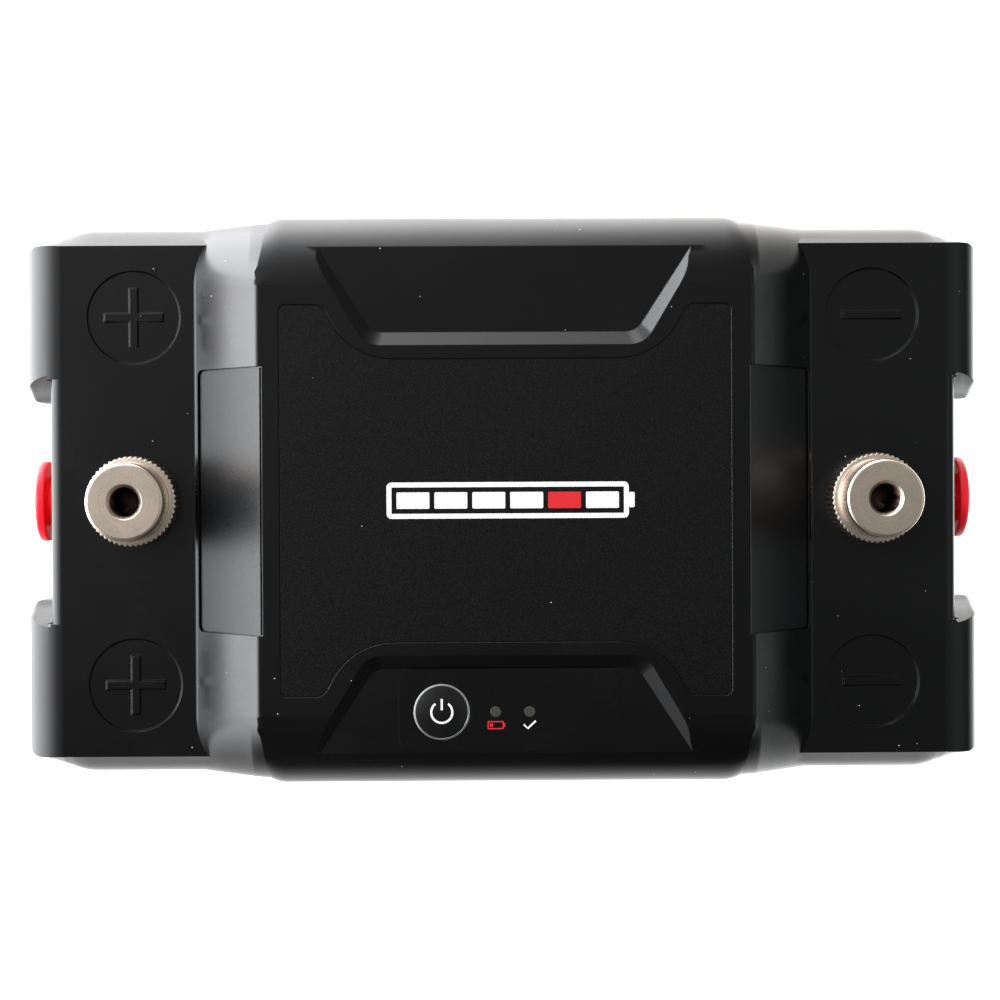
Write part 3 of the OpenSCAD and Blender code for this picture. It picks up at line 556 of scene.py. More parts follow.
def quilt(name, quarter):
    """Closed solid over columns of points that cover its quarter, down to the parting line."""
    columns, rows = len(quarter) - 1, len(quarter[0]) - 1
    wide = 2 * rows + 1
    points = []
    for i in range(-columns, columns + 1):
        for j in range(-rows, rows + 1):
            x, y, z = quarter[abs(i)][abs(j)]
            points.append((math.copysign(x, i or 1), math.copysign(y, j or 1), z))
    faces = []
    for i in range(2 * columns):
        for j in range(2 * rows):
            a = i * wide + j
            faces.append((a, a + 1, a + wide + 1, a + wide))
    last = 2 * columns * wide
    faces.append(tuple(range(wide)))
    faces.append(tuple(range(last, last + wide)))
    near = [i * wide for i in range(2 * columns + 1)]
    far = [i * wide + wide - 1 for i in range(2 * columns, -1, -1)]
    faces.append(tuple(near + far))
    return build(name, points, faces)


def plan_ring(g, z):
    """Outline of the whole body, drawn inset by g."""
    band = max(BAND_R - g, 0.6)
    reach = math.acos(clamp((HALF_END - g - (HALF_BAND - g - band)) / band))
    hump = [
        (BAND_END - g - band + band * math.sin(a), HALF_BAND - g - band + band * math.cos(a))
        for a in [reach * t for t in spread(6)]
    ]
    slant = math.atan2(HALF_END - CORNER_Y, HALF_L - CORNER_X)
    edge_x = CORNER_X - g * math.tan(slant / 2)
    edge_y = CORNER_Y - g * math.cos(slant) / (1 + math.sin(slant))
    end_r = max(CORNER_END_R - g, 0.5)
    end = corner((0, HALF_END - g), (edge_x, HALF_END - g), (HALF_L - g, edge_y), CORNER_SIDE_R, 5)
    end += corner((edge_x, HALF_END - g), (HALF_L - g, edge_y), (HALF_L - g, 0), end_r, 6)
    lip = max(CHANNEL_EDGE_R - g, 0.3)
    inner_y = CHANNEL_Y + g
    end += arc(HALF_L - g - lip, inner_y + lip, lip, 0, -90, 4)
    end += reversed(inner_corner(CHANNEL_X - g, inner_y))
    return [(x, y, z) for x, y in four_ways(list(reversed(hump + end)))]


def inner_corner(x, y):
    """Outline of a channel's corner at its back wall."""
    r, cut = CHANNEL_INNER_R, CHANNEL_INNER_CUT
    return [(x, y - r), (x + cut, y - cut), (x + r, y)]


def channel_cutter(side):
    """Space of one end channel, with its mouth and rounded edges."""
    rings = []
    for z in (SPLIT - 2, DECK - FUNNEL_H, DECK + 3):
        open_y = max(0, z - DECK + FUNNEL_H) / FUNNEL_H * (MOUTH_Y - CHANNEL_Y)
        y = CHANNEL_Y + open_y
        lip = arc(HALF_L - CHANNEL_EDGE_R, y + CHANNEL_EDGE_R, CHANNEL_EDGE_R, -90, 0, 6)
        half = inner_corner(CHANNEL_X, y) + lip + [(HALF_L + CUT_PAST, y + CHANNEL_EDGE_R)]
        outline = half + [(px, -py) for px, py in reversed(half)]
        rings.append([(side * px, py, z) for px, py in outline])
    return loft("channel", rings)


def crest_cutter(side):
    """Rounds the top of a channel's back wall."""
    r = CHANNEL_CREST_R
    round_part = arc(CHANNEL_X - r, DECK - r, r, 90, 0, 8)
    outline = round_part + [(CHANNEL_X + 1, DECK - r), (CHANNEL_X + 1, DECK + 1)]
    outline += [(CHANNEL_X - r, DECK + 1)]
    rings = [[(side * x, y, z) for x, z in outline] for y in (-MOUTH_Y + 1, MOUTH_Y - 1)]
    return loft("crest", rings)


def recess_cutter(side):
    """Trapezoid recess whose three walls slant in towards its floor."""
    depth = TOP - RECESS_Z
    end_x = RECESS_X + RECESS_FLARE * (RECESS_END_Y - RECESS_Y)
    rings = []
    for k in (0, 1, 2):
        g, r = RECESS_WALL * (1 - k), RECESS_R - RECESS_WALL * (1 - k) / 2
        across = g * math.hypot(1, RECESS_FLARE) - RECESS_FLARE * g
        right = [(RECESS_X - across, RECESS_Y + g), (end_x - across, RECESS_END_Y)]
        left = [(-x, y) for x, y in reversed(right)]
        outline = rounded(right + left, [r, 0, 0, r])
        rings.append([(x, side * y, RECESS_Z + depth * k) for x, y in outline])
    return loft("recess", rings)


def label_outline(g):
    quarter = [
        (LABEL_HX - g, LABEL_HY - g),
        (LABEL_EAR_X + 0.6 * g, LABEL_HY - g),
        (LABEL_NOTCH_X + 0.5 * g, LABEL_NOTCH_Y - g),
    ]
    radii = list(LABEL_RADII)
    return rounded(four_ways(quarter), (radii + radii[::-1]) * 2)


def slope_outline(g):
    low = HUMP_H / math.sin(SLOPE) - SLOPE_LABEL_FOOT + LABEL_GAP - g
    high = 2 * g - SLOPE_LABEL_CREST
    y = SLOPE_LABEL_Y + LABEL_GAP - g
    radii = [SLOPE_LABEL_R, 0, 0, SLOPE_LABEL_R]
    return rounded([(low, y), (high, y), (high, -y), (low, -y)], radii)


def cross_outline(arm, bar, plus):
    """A plus or a minus sign."""
    a, b = arm / 2, bar / 2
    if plus:
        return four_ways([(a, b), (b, b), (b, a)])
    return [(a, b), (-a, b), (-a, -b), (a, -b)]


def polarity_cutter(x, y, plus):
    place = Matrix.Translation((x, y, 0))
    rings = []
    for rise in (-2, 2):
        draft = -2 * MARK_DRAFT * rise
        outline = cross_outline(MARK_ARM + draft, MARK_BAR + draft, plus)
        rings.append([(px, py, DECK + rise * MARK_DEPTH) for px, py in outline])
    low, high = DECK - MARK_DEPTH, DECK + 3 * MARK_DEPTH
    r = MARK_D / 2
    profile = [(0, low), (r - MARK_DRAFT, low), (r + 3 * MARK_DRAFT, high), (0, high)]
    return combine(lathe("disc", profile, 96, place), loft("sign", rings, place=place))


def lid_cavity():
    """Space inside the lid, with the bosses left standing."""
    outline = round_box(CHANNEL_X - WALL, HALF_END - WALL, CAVITY_R)
    space = prism("cavity", outline, SPLIT - 1, DECK - WALL)
    low, floor_z = DECK - WALL - TROUGH_DROP, RECESS_Z - WALL
    trough = [(TROUGH_FOOT_X, low), (TROUGH_X, floor_z), (-TROUGH_X, floor_z), (-TROUGH_FOOT_X, low)]
    rings = [[(x, y, z) for x, z in trough] for y in (-TROUGH_Y, TROUGH_Y)]
    attic = prism("attic", round_box(ATTIC_X, ATTIC_Y, ATTIC_R), floor_z - 1, TOP - WALL)
    combine(space, loft("trough", rings), attic, operation="UNION")
    bosses = [upright("boss", BOSS_R, low, DECK + 9, (s * MARK_X, 0)) for s in (-1, 1)]
    first, last = mm_box("indicator_screws")
    board_top = mm_box("indicator_board")[1].z
    for x in (first.x + SCREW_INSET, last.x - SCREW_INSET):
        for y in (first.y + SCREW_INSET, last.y - SCREW_INSET):
            bosses.append(upright("post", SCREW_POST_R, board_top, TOP, (x, y)))
    return combine(space, *bosses)


def groove():
    """Ring-shaped space for the case's tongue and the seal."""
    inner, outer = GROOVE_INSETS
    corners = ((inner, -1), (inner, GROOVE_H), (outer, GROOVE_H), (outer, -1))
    return loft("groove", [plan_ring(g, SPLIT + rise) for g, rise in corners], ring_closed=True)


def slope_pocket(side):
    """Shallow space for the film on a slope."""
    return prism("slope_pocket", slope_outline(0), -SLOPE_POCKET, 5, slope_place(side))


def lid_piece():
    sides = (-1, 1)
    lid = quilt("lid_shell", hump_columns())
    combine(lid, quilt("decks", deck_columns()), operation="UNION")
    combine(lid, lid_cavity(), groove())
    combine(lid, join("channels", [channel_cutter(s) for s in sides]))
    combine(lid, join("crests", [crest_cutter(s) for s in sides]))
    combine(lid, prism("label_pocket", label_outline(0), TOP - LABEL_POCKET, TOP + 4))
    combine(lid, join("recesses", [recess_cutter(s) for s in sides]))
    combine(lid, slope_pocket(-1), slope_pocket(1))
    marks = [polarity_cutter(x * MARK_X, y * MARK_Y, x < 0) for x in sides for y in sides]
    combine(lid, join("marks", marks))
    bores, seats, over = [], [], DECK + 8
    for s, axis in zip(sides, ("-X", "X")):
        spot = (s * MARK_X, 0)
        bores.append(upright("bore", POST_BORE_R, DECK - POST_BORE_DEPTH, over, spot))
        side = turned(s * SIDE_BORE_X, 0, SIDE_AXIS_Z, axis)
        bores.append(cylinder("side", SIDE_BORE_R, 0, 20, side))
        seats.append(upright("seat", SEAL_SEAT_R, DECK - SEAL_SEAT_DEPTH, over, spot))
    combine(lid, join("bores", bores), join("seats", seats))
    seat_z = RECESS_Z - BUTTON_SEAT_DEPTH
    holes = [upright("button", BUTTON_HOLE_R, seat_z, TOP + 2, BUTTON)]
    holes += [upright("lens", LENS_HOLE_R, seat_z - SHELF_T, TOP + 2, c, 32) for c in LENSES]
    combine(lid, join("holes", holes))
    return combine(lid, upright("stem", STEM_HOLE_R, seat_z - SHELF_T, TOP, BUTTON, 32))


# ---- Case ----

CASE_LABEL_X, CASE_LABEL_H, CASE_LABEL_R = 92, 108, 5
CASE_LABEL_Z = 83
CASE_LABEL_POCKET = 0.6
FLUTE_XS = (68, 79, 90)
FLUTE_R, FLUTE_DEPTH = 4, 0.8
FLUTE_Z = (24, 138)
TONGUE_INSET, TONGUE_H = 1.7, 3
GAP_INSET, GAP_H = 0.7, 1.2
# Insets of the outline and their heights: rounded foot with its rim, and the edge below the gap
CASE_FOOT = [(3.4, 0), (2.3, 0.5), (1.7, 1.3), (1.4, 2.4), (1.4, 4.4), (1.1, 4.8), (0.4, 5)]
CASE_RIM = [(0.1, 5.3), (0, 5.9)]
CASE_EDGE = [(0, -0.5), (0.12, -0.15), (0.5, 0)]


def case_block():
    """Outer skin, parting groove, tongue and inside as one loft along Z."""
    edge, tip = SPLIT - GAP_H, SPLIT + TONGUE_H
    steps = CASE_FOOT + CASE_RIM + [(g, edge + rise) for g, rise in CASE_EDGE]
    steps += [(GAP_INSET, edge), (GAP_INSET, SPLIT), (TONGUE_INSET, SPLIT), (TONGUE_INSET, tip)]
    steps += [(WALL, tip), (WALL, WALL + 2), (WALL + 0.6, WALL + 0.6), (WALL + 2, WALL)]
    return loft("case_shell", [plan_ring(g, z) for g, z in steps])


def flute(x, side):
    low, high = FLUTE_Z
    outline = arc(0, low + FLUTE_R, FLUTE_R, -90, 0, 8) + arc(0, high - FLUTE_R, FLUTE_R, 0, 90, 8)
    profile = [(r if r > 1e-9 else 0, z) for r, z in outline]
    y = side * (HALF_END + FLUTE_R - FLUTE_DEPTH)
    return lathe("flute", profile, 48, turned(x, y, 0))


def facing_y(side):
    """Placement on a long side: own X along it, own Y up and own Z outwards."""
    turn = Matrix.Rotation(math.pi / 2, 4, "X")
    if side > 0:
        turn = Matrix.Rotation(math.pi, 4, "Z") @ turn
    return Matrix.Translation((0, side * HALF_BAND, CASE_LABEL_Z)) @ turn


def case_piece():
    case = case_block()
    flutes = [flute(sx * x, side) for x in FLUTE_XS for sx in (-1, 1) for side in (-1, 1)]
    combine(case, join("flutes", flutes))
    outline = round_box(CASE_LABEL_X / 2, CASE_LABEL_H / 2, CASE_LABEL_R)
    pockets = [prism("pocket", outline, -CASE_LABEL_POCKET, 4, facing_y(s)) for s in (-1, 1)]
    return combine(case, join("pockets", pockets))


# ---- Terminals and plugs ----

THREAD_PITCH = 1.25
THREAD_MINOR = 3.325
THREAD_DEPTH = 0.62
KNURL_TEETH = 52
KNURL_DEPTH = 0.42
POST_R = 9.1
COLLAR_R = 10.8
COLLAR_H = 6.8
STEM_R = 8
HOLE_DEPTH = 15
PLUG_STEM_R, PLUG_NECK_R, PLUG_BACK = 3.15, 6.1, 3.4


def terminal_rows():
    """(radius, height, kind) of a terminal's rows, from the hole's bottom out and down."""
    low, top = (v.z for v in mm_box("terminal_negative"))
    collar_top = DECK + COLLAR_H
    hole = top - HOLE_DEPTH
    step = THREAD_PITCH / 7
    count = int((HOLE_DEPTH - 1.6) / step)
    mouth = [(0, -0.95), (0.1, -0.8), (0.72, -0.14), (0.8, -0.05), (0.9, 0)]
    edge = reversed(arc(POST_R - 0.8, top - 0.8, 0.8, 0, 90, 6))
    neck = [(0, 0.5), (0.1, 0.1), (0.3, 0)]
    foot = [(COLLAR_R - 0.7, DECK + 0.06), (COLLAR_R - 1.1, DECK)]
    stem = [(STEM_R, DECK), (STEM_R, low + 0.5), (STEM_R - 0.5, low), (0, low)]
    inside = [(0, hole - 1.2), (THREAD_MINOR, hole)]
    thread = [(THREAD_MINOR, hole + 0.3 + i * step) for i in range(count)]
    outside = [(THREAD_MINOR + r, top + z) for r, z in mouth]
    outside += [*edge, (POST_R, top - 1.4)]
    outside += [(POST_R + r, collar_top + z) for r, z in neck]
    outside += [(COLLAR_R - 0.75, collar_top), (COLLAR_R - 0.6, collar_top - 0.03)]
    knurl = [(COLLAR_R, collar_top - 0.15 - t * (COLLAR_H - 0.3)) for t in spread(8)]
    stretches = [("plain", inside), ("thread", thread), ("plain", outside), ("knurl", knurl)]
    stretches.append(("plain", foot + stem))
    return [(r, z, kind) for kind, stretch in stretches for r, z in stretch]


def knurl_radius(angle, z):
    """Rounded ridges that fade out at the collar's edges."""
    ridge = abs(math.cos(KNURL_TEETH * angle / 2)) ** 1.5
    fade = min(1, (z - DECK) / 0.5, (DECK + COLLAR_H - z) / 0.5)
    return COLLAR_R - KNURL_DEPTH * (1 - ridge) - 0.25 * (1 - clamp(fade)) ** 2


def thread_radius(angle, z, top):
    turn = ((z - top) / THREAD_PITCH + angle / (2 * math.pi)) % 1
    groove = clamp(1.25 - 2.5 * abs(turn - 0.5))
    return THREAD_MINOR + THREAD_DEPTH * groove


def terminal(name, x):
    rows = terminal_rows()
    top = mm_box("terminal_negative")[1].z
    steps = KNURL_TEETH * 6
    points = []
    for i in range(steps):
        a = 2 * math.pi * i / steps
        for r, z, kind in rows:
            if kind == "knurl":
                r = knurl_radius(a, z)
            if kind == "thread":
                r = thread_radius(a, z, top)
            points.append((x + r * math.cos(a), r * math.sin(a), z))
    return build(name, points, faces_round([r for r, _, _ in rows], steps))


def line_bore(post, x, material):
    """Gives the threaded hole of a terminal its own material."""
    top = mm_box("terminal_negative")[1].z
    post.data.materials.append(material)
    for face in post.data.polygons:
        dx, dy, dz = face.center / MM - Vector((x, 0, top))
        inside = math.hypot(dx, dy) < THREAD_MINOR + THREAD_DEPTH + 0.1
        face.material_index = int(inside and -HOLE_DEPTH - 2 < dz < -0.8)


def plug(name, side):
    """Pull-off plug with a soft domed head."""
    low, high = mm_box("side_plug_negative")
    stem, face = low.x, high.x
    r = high.z - SIDE_AXIS_Z
    wall, back = CHANNEL_X + 0.1, CHANNEL_X + PLUG_BACK
    profile = [(0, stem), (PLUG_STEM_R - 0.75, stem), (PLUG_STEM_R - 0.15, stem + 0.5)]
    profile += [(PLUG_STEM_R, stem + 1.1), (PLUG_STEM_R, wall), (PLUG_NECK_R - 0.4, wall)]
    profile += [(PLUG_NECK_R, wall + 0.4), (PLUG_NECK_R, back - 0.1)]
    profile += [(r - 0.6, back - 0.1), (r - 0.15, back + 0.1), (r, back + 0.5)]
    profile += arc(r - 1, face - 1.3, 1, 0, 75, 7)
    profile += [(r - 2.2, face - 0.2), (r - 5, face - 0.08), (0, face)]
    place = turned(0, 0, SIDE_AXIS_Z, "X" if side > 0 else "-X")
    return lathe(name, profile, 128, place)


# ---- Button, ring and printed marks ----

BUTTON_R = 6.55
DOME_H = 0.7
DOME_R = (BUTTON_R**2 + DOME_H**2) / (2 * DOME_H)
BUTTON_LOW, BUTTON_TOP = (v.z for v in mm_box("power_button"))
BUTTON_EDGE, BUTTON_SKIRT = 0.08, 1
STEM_TIP_R, STEM_TIP_CUT = 2, 0.3
RING_R, RING_W = BUTTON_R - 0.24, 0.44
SYMBOL_R, SYMBOL_W, SYMBOL_GAP = 2.45, 0.5, 37
SYMBOL_BAR = (0.5, 3.1)
PRINT_T = 0.03


def dome_z(x, y):
    return BUTTON_TOP - DOME_R + math.sqrt(DOME_R**2 - x * x - y * y)


def button_piece():
    base, rim = RECESS_Z - BUTTON_SKIRT, dome_z(BUTTON_R, 0)
    profile = [(BUTTON_R * t, dome_z(BUTTON_R * t, 0)) for t in spread(12)[:-1]]
    profile += [(BUTTON_R - BUTTON_EDGE, rim), (BUTTON_R, rim - 0.1), (BUTTON_R, base)]
    profile += [(STEM_TIP_R, base), (STEM_TIP_R, BUTTON_LOW + STEM_TIP_CUT)]
    profile += [(STEM_TIP_R - STEM_TIP_CUT, BUTTON_LOW), (0, BUTTON_LOW)]
    return lathe("button_cap", profile, 128, turned(BUTTON.x, BUTTON.y, 0))


def strip(name, inner, outer, height, place, closed=False):
    """A thin printed stroke between two lines of points, lying on a surface."""
    rings = []
    for a, b in zip(inner, outer):
        around = ((a, -PRINT_T), (b, -PRINT_T), (b, PRINT_T), (a, PRINT_T))
        rings.append([(*p, height(*p) + rise) for p, rise in around])
    return loft(name, rings, ring_closed=closed, place=place)


def stroke(points, width, height):
    """A bent printed line through the points, lying at a height."""
    left, right = [], []
    for i, p in enumerate(points):
        along = Vector(points[min(i + 1, len(points) - 1)]) - Vector(points[max(i - 1, 0)])
        along.normalize()
        across = Vector((-along.y, along.x)) * width / 2
        left.append(tuple(Vector(p) + across))
        right.append(tuple(Vector(p) - across))
    return strip("stroke", left, right, lambda x, y: height, None)


def stroke_arc(name, r, width, start, end, height, place):
    steps = max(8, int(abs(end - start) / 5))
    closed = abs(end - start) >= 360
    inner = arc(0, 0, r - width / 2, start, end, steps)
    outer = arc(0, 0, r + width / 2, start, end, steps)
    if closed:
        inner, outer = inner[:-1], outer[:-1]
    return strip(name, inner, outer, height, place, closed)


def button_prints():
    """Bright ring and power symbol on the dome."""
    place = turned(BUTTON.x, BUTTON.y, 0)
    ring = stroke_arc("button_ring", RING_R, RING_W, 0, 360, dome_z, place)
    ends = (90 + SYMBOL_GAP, 450 - SYMBOL_GAP)
    circle = stroke_arc("circle", SYMBOL_R, SYMBOL_W, *ends, dome_z, place)
    left, right = (
        [(x, lerp(*SYMBOL_BAR, t)) for t in spread(4)] for x in (-SYMBOL_W / 2, SYMBOL_W / 2)
    )
    bar = strip("bar", left, right, dome_z, place)
    return ring, join("button_symbol", [circle, bar])


def flat_shape(outline, height, place=None):
    """A thin printed shape lying at a height."""
    return prism("print", outline, height - PRINT_T, height + PRINT_T, place)


def frame_shape(half_x, half_y, r, line, height, place=None):
    """A rounded rectangular line."""
    outer = round_box(half_x, half_y, r)
    inner = round_box(half_x - line, half_y - line, max(r - line, 0.15))
    rings = []
    for z in (height - PRINT_T, height + PRINT_T):
        rings.append([(x, y, z) for x, y in outer])
    rings.append([(x, y, height + PRINT_T) for x, y in inner])
    rings.append([(x, y, height - PRINT_T) for x, y in inner])
    return loft("print", rings, ring_closed=True, place=place)


def moved(outline, dx, dy):
    return [(x + dx, y + dy) for x, y in outline]


def battery_shapes(cx, cy, size, height, place=None):
    """Battery pictogram: its frame with a tip, and a list of its inner bars."""
    half_x, half_y, line, bars = size
    offset = (place or Matrix.Identity(4)) @ Matrix.Translation((cx, cy, 0))
    tip = line * 1.15
    tip_outline = moved(round_box(tip / 2, half_y * 0.42, line * 0.3), half_x + tip / 2 + 0.01, 0)
    body = [
        frame_shape(half_x, half_y, line, line, height, offset),
        flat_shape(tip_outline, height, offset),
    ]
    space = half_x * 2 - 4 * line
    pitch = (space + line) / bars
    cells = []
    for i in range(bars):
        x = -half_x + 2 * line + (pitch - line) / 2 + i * pitch
        bar = round_box((pitch - line) / 2, half_y - 2 * line, line * 0.25)
        cells.append(flat_shape(moved(bar, x, 0), height, offset))
    return body, cells


# ---- Materials ----


def scaled(colour, share):
    return tuple(c * share for c in colour)


class Graph:
    """Short calls that add nodes to a node tree."""

    def __init__(self, tree):
        self.nodes, self.links = tree.nodes, tree.links

    def put(self, socket, value):
        if hasattr(value, "links"):
            self.links.new(value, socket)
        elif isinstance(value, (tuple, list)) and len(value) == 3 and socket.type == "RGBA":
            socket.default_value = (*value, 1)
        else:
            socket.default_value = value

    def node(self, kind, settings=None, **inputs):
        node = self.nodes.new(kind)
        for key, value in (settings or {}).items():
            setattr(node, key, value)
        for key, value in inputs.items():
            self.put(node.inputs[key.replace("_", " ")], value)
        return node

    def map(self, value, low, high, out_low=0.0, out_high=1.0):
        node = self.node("ShaderNodeMapRange", Value=value)
        ends = ("From Min", "From Max", "To Min", "To Max")
        for key, number in zip(ends, (low, high, out_low, out_high)):
            node.inputs[key].default_value = number
        return node.outputs[0]

    def math(self, operation, a, b=0.5):
        node = self.node("ShaderNodeMath", {"operation": operation})
        self.put(node.inputs[0], a)
        self.put(node.inputs[1], b)
        return node.outputs[0]

    def vector(self, operation, a, b=None):
        node = self.node("ShaderNodeVectorMath", {"operation": operation})
        self.put(node.inputs[0], a)
        if b is not None:
            self.put(node.inputs["Scale" if operation == "SCALE" else 1], b)
        return node.outputs["Value" if operation in ("DOT_PRODUCT", "LENGTH") else 0]


MATERIALS = {}


class Surface(Graph):
    """A principled material and short calls for the nodes that feed it."""

    def __init__(self, name, **constants):
        self.material = MATERIALS[name] = bpy.data.materials.new(name)
        self.material.use_nodes = True
        super().__init__(self.material.node_tree)
        self.shader = self.nodes["Principled BSDF"]
        for key, value in constants.items():
            self.shader.inputs[key.replace("_", " ")].default_value = value
        self.place = self.nodes.new("ShaderNodeTexCoord").outputs["Object"]

    def noise(self, size, detail=3, rough=0.55, place=None, stretch=None):
        """Noise with features about that many millimetres across."""
        place = place or self.place
        if stretch:
            place = self.node("ShaderNodeMapping", Vector=place, Scale=stretch).outputs[0]
        node = self.node("ShaderNodeTexNoise", Vector=place, Scale=1 / (size * MM), Detail=detail)
        node.inputs["Roughness"].default_value = rough
        return node.outputs["Fac"]

    def cells(self, size, feature="F1"):
        node = self.node("ShaderNodeTexVoronoi", {"feature": feature}, Vector=self.place)
        node.inputs["Scale"].default_value = 1 / (size * MM)
        return node

    def mix(self, share, a, b):
        """A colour between two others, picked by a share from 0 to 1."""
        node = self.node("ShaderNodeMix", {"data_type": "RGBA"})
        self.put(node.inputs["Factor"], share)
        self.put(node.inputs[6], a)
        self.put(node.inputs[7], b)
        return node.outputs[2]

    def specks(self, size, share, radius=0.18):
        """1 on a few small round specks scattered over cells of that size."""
        cells = self.cells(size)
        near = self.map(cells.outputs["Distance"], radius * 0.55, radius, 1, 0)
        split = self.node("ShaderNodeSeparateColor")
        self.links.new(cells.outputs["Color"], split.inputs[0])
        chosen = self.math("LESS_THAN", split.outputs[0], share)
        return self.math("MULTIPLY", near, chosen)

    def edges(self, radius):
        """Normal that rounds sharp edges over that many millimetres."""
        return self.node("ShaderNodeBevel", {"samples": 4}, Radius=radius * MM).outputs[0]

    def bump(self, height, depth, normal=None):
        """Bump of that depth in millimetres."""
        node = self.node("ShaderNodeBump", Strength=1.0, Distance=depth * MM, Height=height)
        if normal:
            self.links.new(normal, node.inputs["Normal"])
        return node.outputs[0]

    def finish(self, colour, roughness, normal=None):
        """Connects the shader and gives back the material."""
        for key, value in (("Base Color", colour), ("Roughness", roughness), ("Normal", normal)):
            if value is not None:
                self.put(self.shader.inputs[key], value)
        return self.material


def moulded_plastic(name, base, rough, grain=0.45, grain_depth=0.005, dust=0.6, edge=0.3):
    """Black moulded plastic: fine grain, cloudy gloss, small scuffs and a few dust specks."""
    s = Surface(name, Specular_IOR_Level=0.4)
    cloud = s.noise(28, 4)
    fine = s.noise(grain, 2, 0.6)
    body = s.mix(cloud, scaled(base, 0.82), scaled(base, 1.25))
    specks = s.specks(4.2, dust, 0.04)
    colour = s.mix(specks, body, (0.4, 0.4, 0.38))
    scuff = s.noise(5, 6, 0.7, stretch=(1, 6, 1))
    gloss = s.map(cloud, 0.3, 0.7, rough - 0.05, rough + 0.05)
    gloss = s.math("ADD", gloss, s.map(scuff, 0.55, 0.8, 0, 0.08))
    gloss = s.math("ADD", gloss, s.map(fine, 0.3, 0.7, -0.03, 0.03))
    normal = s.bump(fine, grain_depth, s.edges(edge))
    return s.finish(colour, gloss, s.bump(specks, 0.03, normal))


def film(name, base, rough, speckle, grain=0.28, depth=0.01, dust=0.03):
    """Matt label film with an even fine texture."""
    s = Surface(name, Specular_IOR_Level=0.38)
    fine = s.noise(grain, 1, 0.5)
    cloud = s.noise(40, 3)
    light = tuple(c + speckle for c in base)
    body = s.mix(s.map(fine, 0.35, 0.7), base, light)
    body = s.mix(s.map(cloud, 0.3, 0.7, 0, 0.25), body, scaled(base, 0.6))
    specks = s.specks(5, dust, 0.035)
    colour = s.mix(specks, body, (0.3, 0.3, 0.3))
    gloss = s.map(fine, 0.3, 0.7, rough - 0.08, rough + 0.08)
    return s.finish(colour, gloss, s.bump(fine, depth, s.edges(0.08)))


def plated_metal(name, base, rough, centre=None, grain=0.25, depth=0.004, stained=None):
    """Plated or turned metal with fine machining lines round its axis and faint stains."""
    s = Surface(name, Metallic=1.0)
    place = s.place
    if centre:
        away = s.vector("MULTIPLY", s.vector("SUBTRACT", place, scaled(centre, MM)), (1, 1, 0))
        height = s.node("ShaderNodeSeparateXYZ", Vector=place).outputs[2]
        across, along = s.vector("LENGTH", away), s.math("MULTIPLY", height, 0.6)
        place = s.node("ShaderNodeCombineXYZ", X=across, Y=along).outputs[0]
    lines = s.noise(grain, 2, 0.7, place=place)
    stain = s.noise(6, 5, 0.65)
    colour = s.mix(s.map(stain, 0.4, 0.75), base, stained or scaled(base, 0.84))
    gloss = s.map(stain, 0.3, 0.8, rough - 0.05, rough + 0.12)
    gloss = s.math("ADD", gloss, s.map(lines, 0.3, 0.7, -0.03, 0.04))
    return s.finish(colour, gloss, s.bump(lines, depth, s.edges(0.12)))


def soft_plastic(name, base, rough, glow=0.0, grain=0.6, depth=0.01):
    """Coloured vinyl, nylon or rubber with a faint skin texture."""
    s = Surface(name, Specular_IOR_Level=0.5, Subsurface_Weight=glow, Subsurface_Scale=0.004)
    cloud = s.noise(7, 4)
    fine = s.noise(grain, 3, 0.6)
    colour = s.mix(s.map(cloud, 0.3, 0.7), scaled(base, 0.85), base)
    gloss = s.map(cloud, 0.25, 0.75, rough - 0.06, rough + 0.08)
    return s.finish(colour, gloss, s.bump(fine, depth, s.edges(0.3)))


def printed(name, base, rough=0.45):
    """Printing ink with a slightly uneven surface."""
    s = Surface(name, Specular_IOR_Level=0.4)
    fine = s.noise(0.2, 2)
    colour = s.mix(s.map(fine, 0.3, 0.7), scaled(base, 0.9), base)
    gloss = s.map(fine, 0.3, 0.7, rough - 0.05, rough + 0.1)
    return s.finish(colour, gloss, s.bump(fine, 0.003))


def circuit_board(name, base):
    """Solder mask over a grid of tracks, with small light pads."""
    s = Surface(name, Specular_IOR_Level=0.5)
    cells = s.cells(2.4, "DISTANCE_TO_EDGE")
    tracks = s.map(cells.outputs["Distance"], 0.02, 0.07, 1, 0)
    body = s.mix(tracks, base, scaled(base, 1.7))
    pads = s.specks(3.1, 0.35, 0.2)
    colour = s.mix(pads, body, (0.55, 0.53, 0.48))
    height = s.math("ADD", tracks, pads)
    return s.finish(colour, s.map(pads, 0, 1, 0.35, 0.22), s.bump(height, 0.03, s.edges(0.15)))


def woven_foam(name, base):
    """Closed-cell foam or sealant with small pores."""
    s = Surface(name, Specular_IOR_Level=0.2)
    cells = s.cells(0.9)
    pores = s.map(cells.outputs["Distance"], 0.1, 0.6)
    colour = s.mix(pores, scaled(base, 0.6), scaled(base, 1.2))
    return s.finish(colour, s.map(pores, 0, 1, 0.95, 0.8), s.bump(pores, 0.08, s.edges(0.4)))


NICKEL, PINKISH_NICKEL = (0.88, 0.76, 0.62), (0.86, 0.66, 0.56)

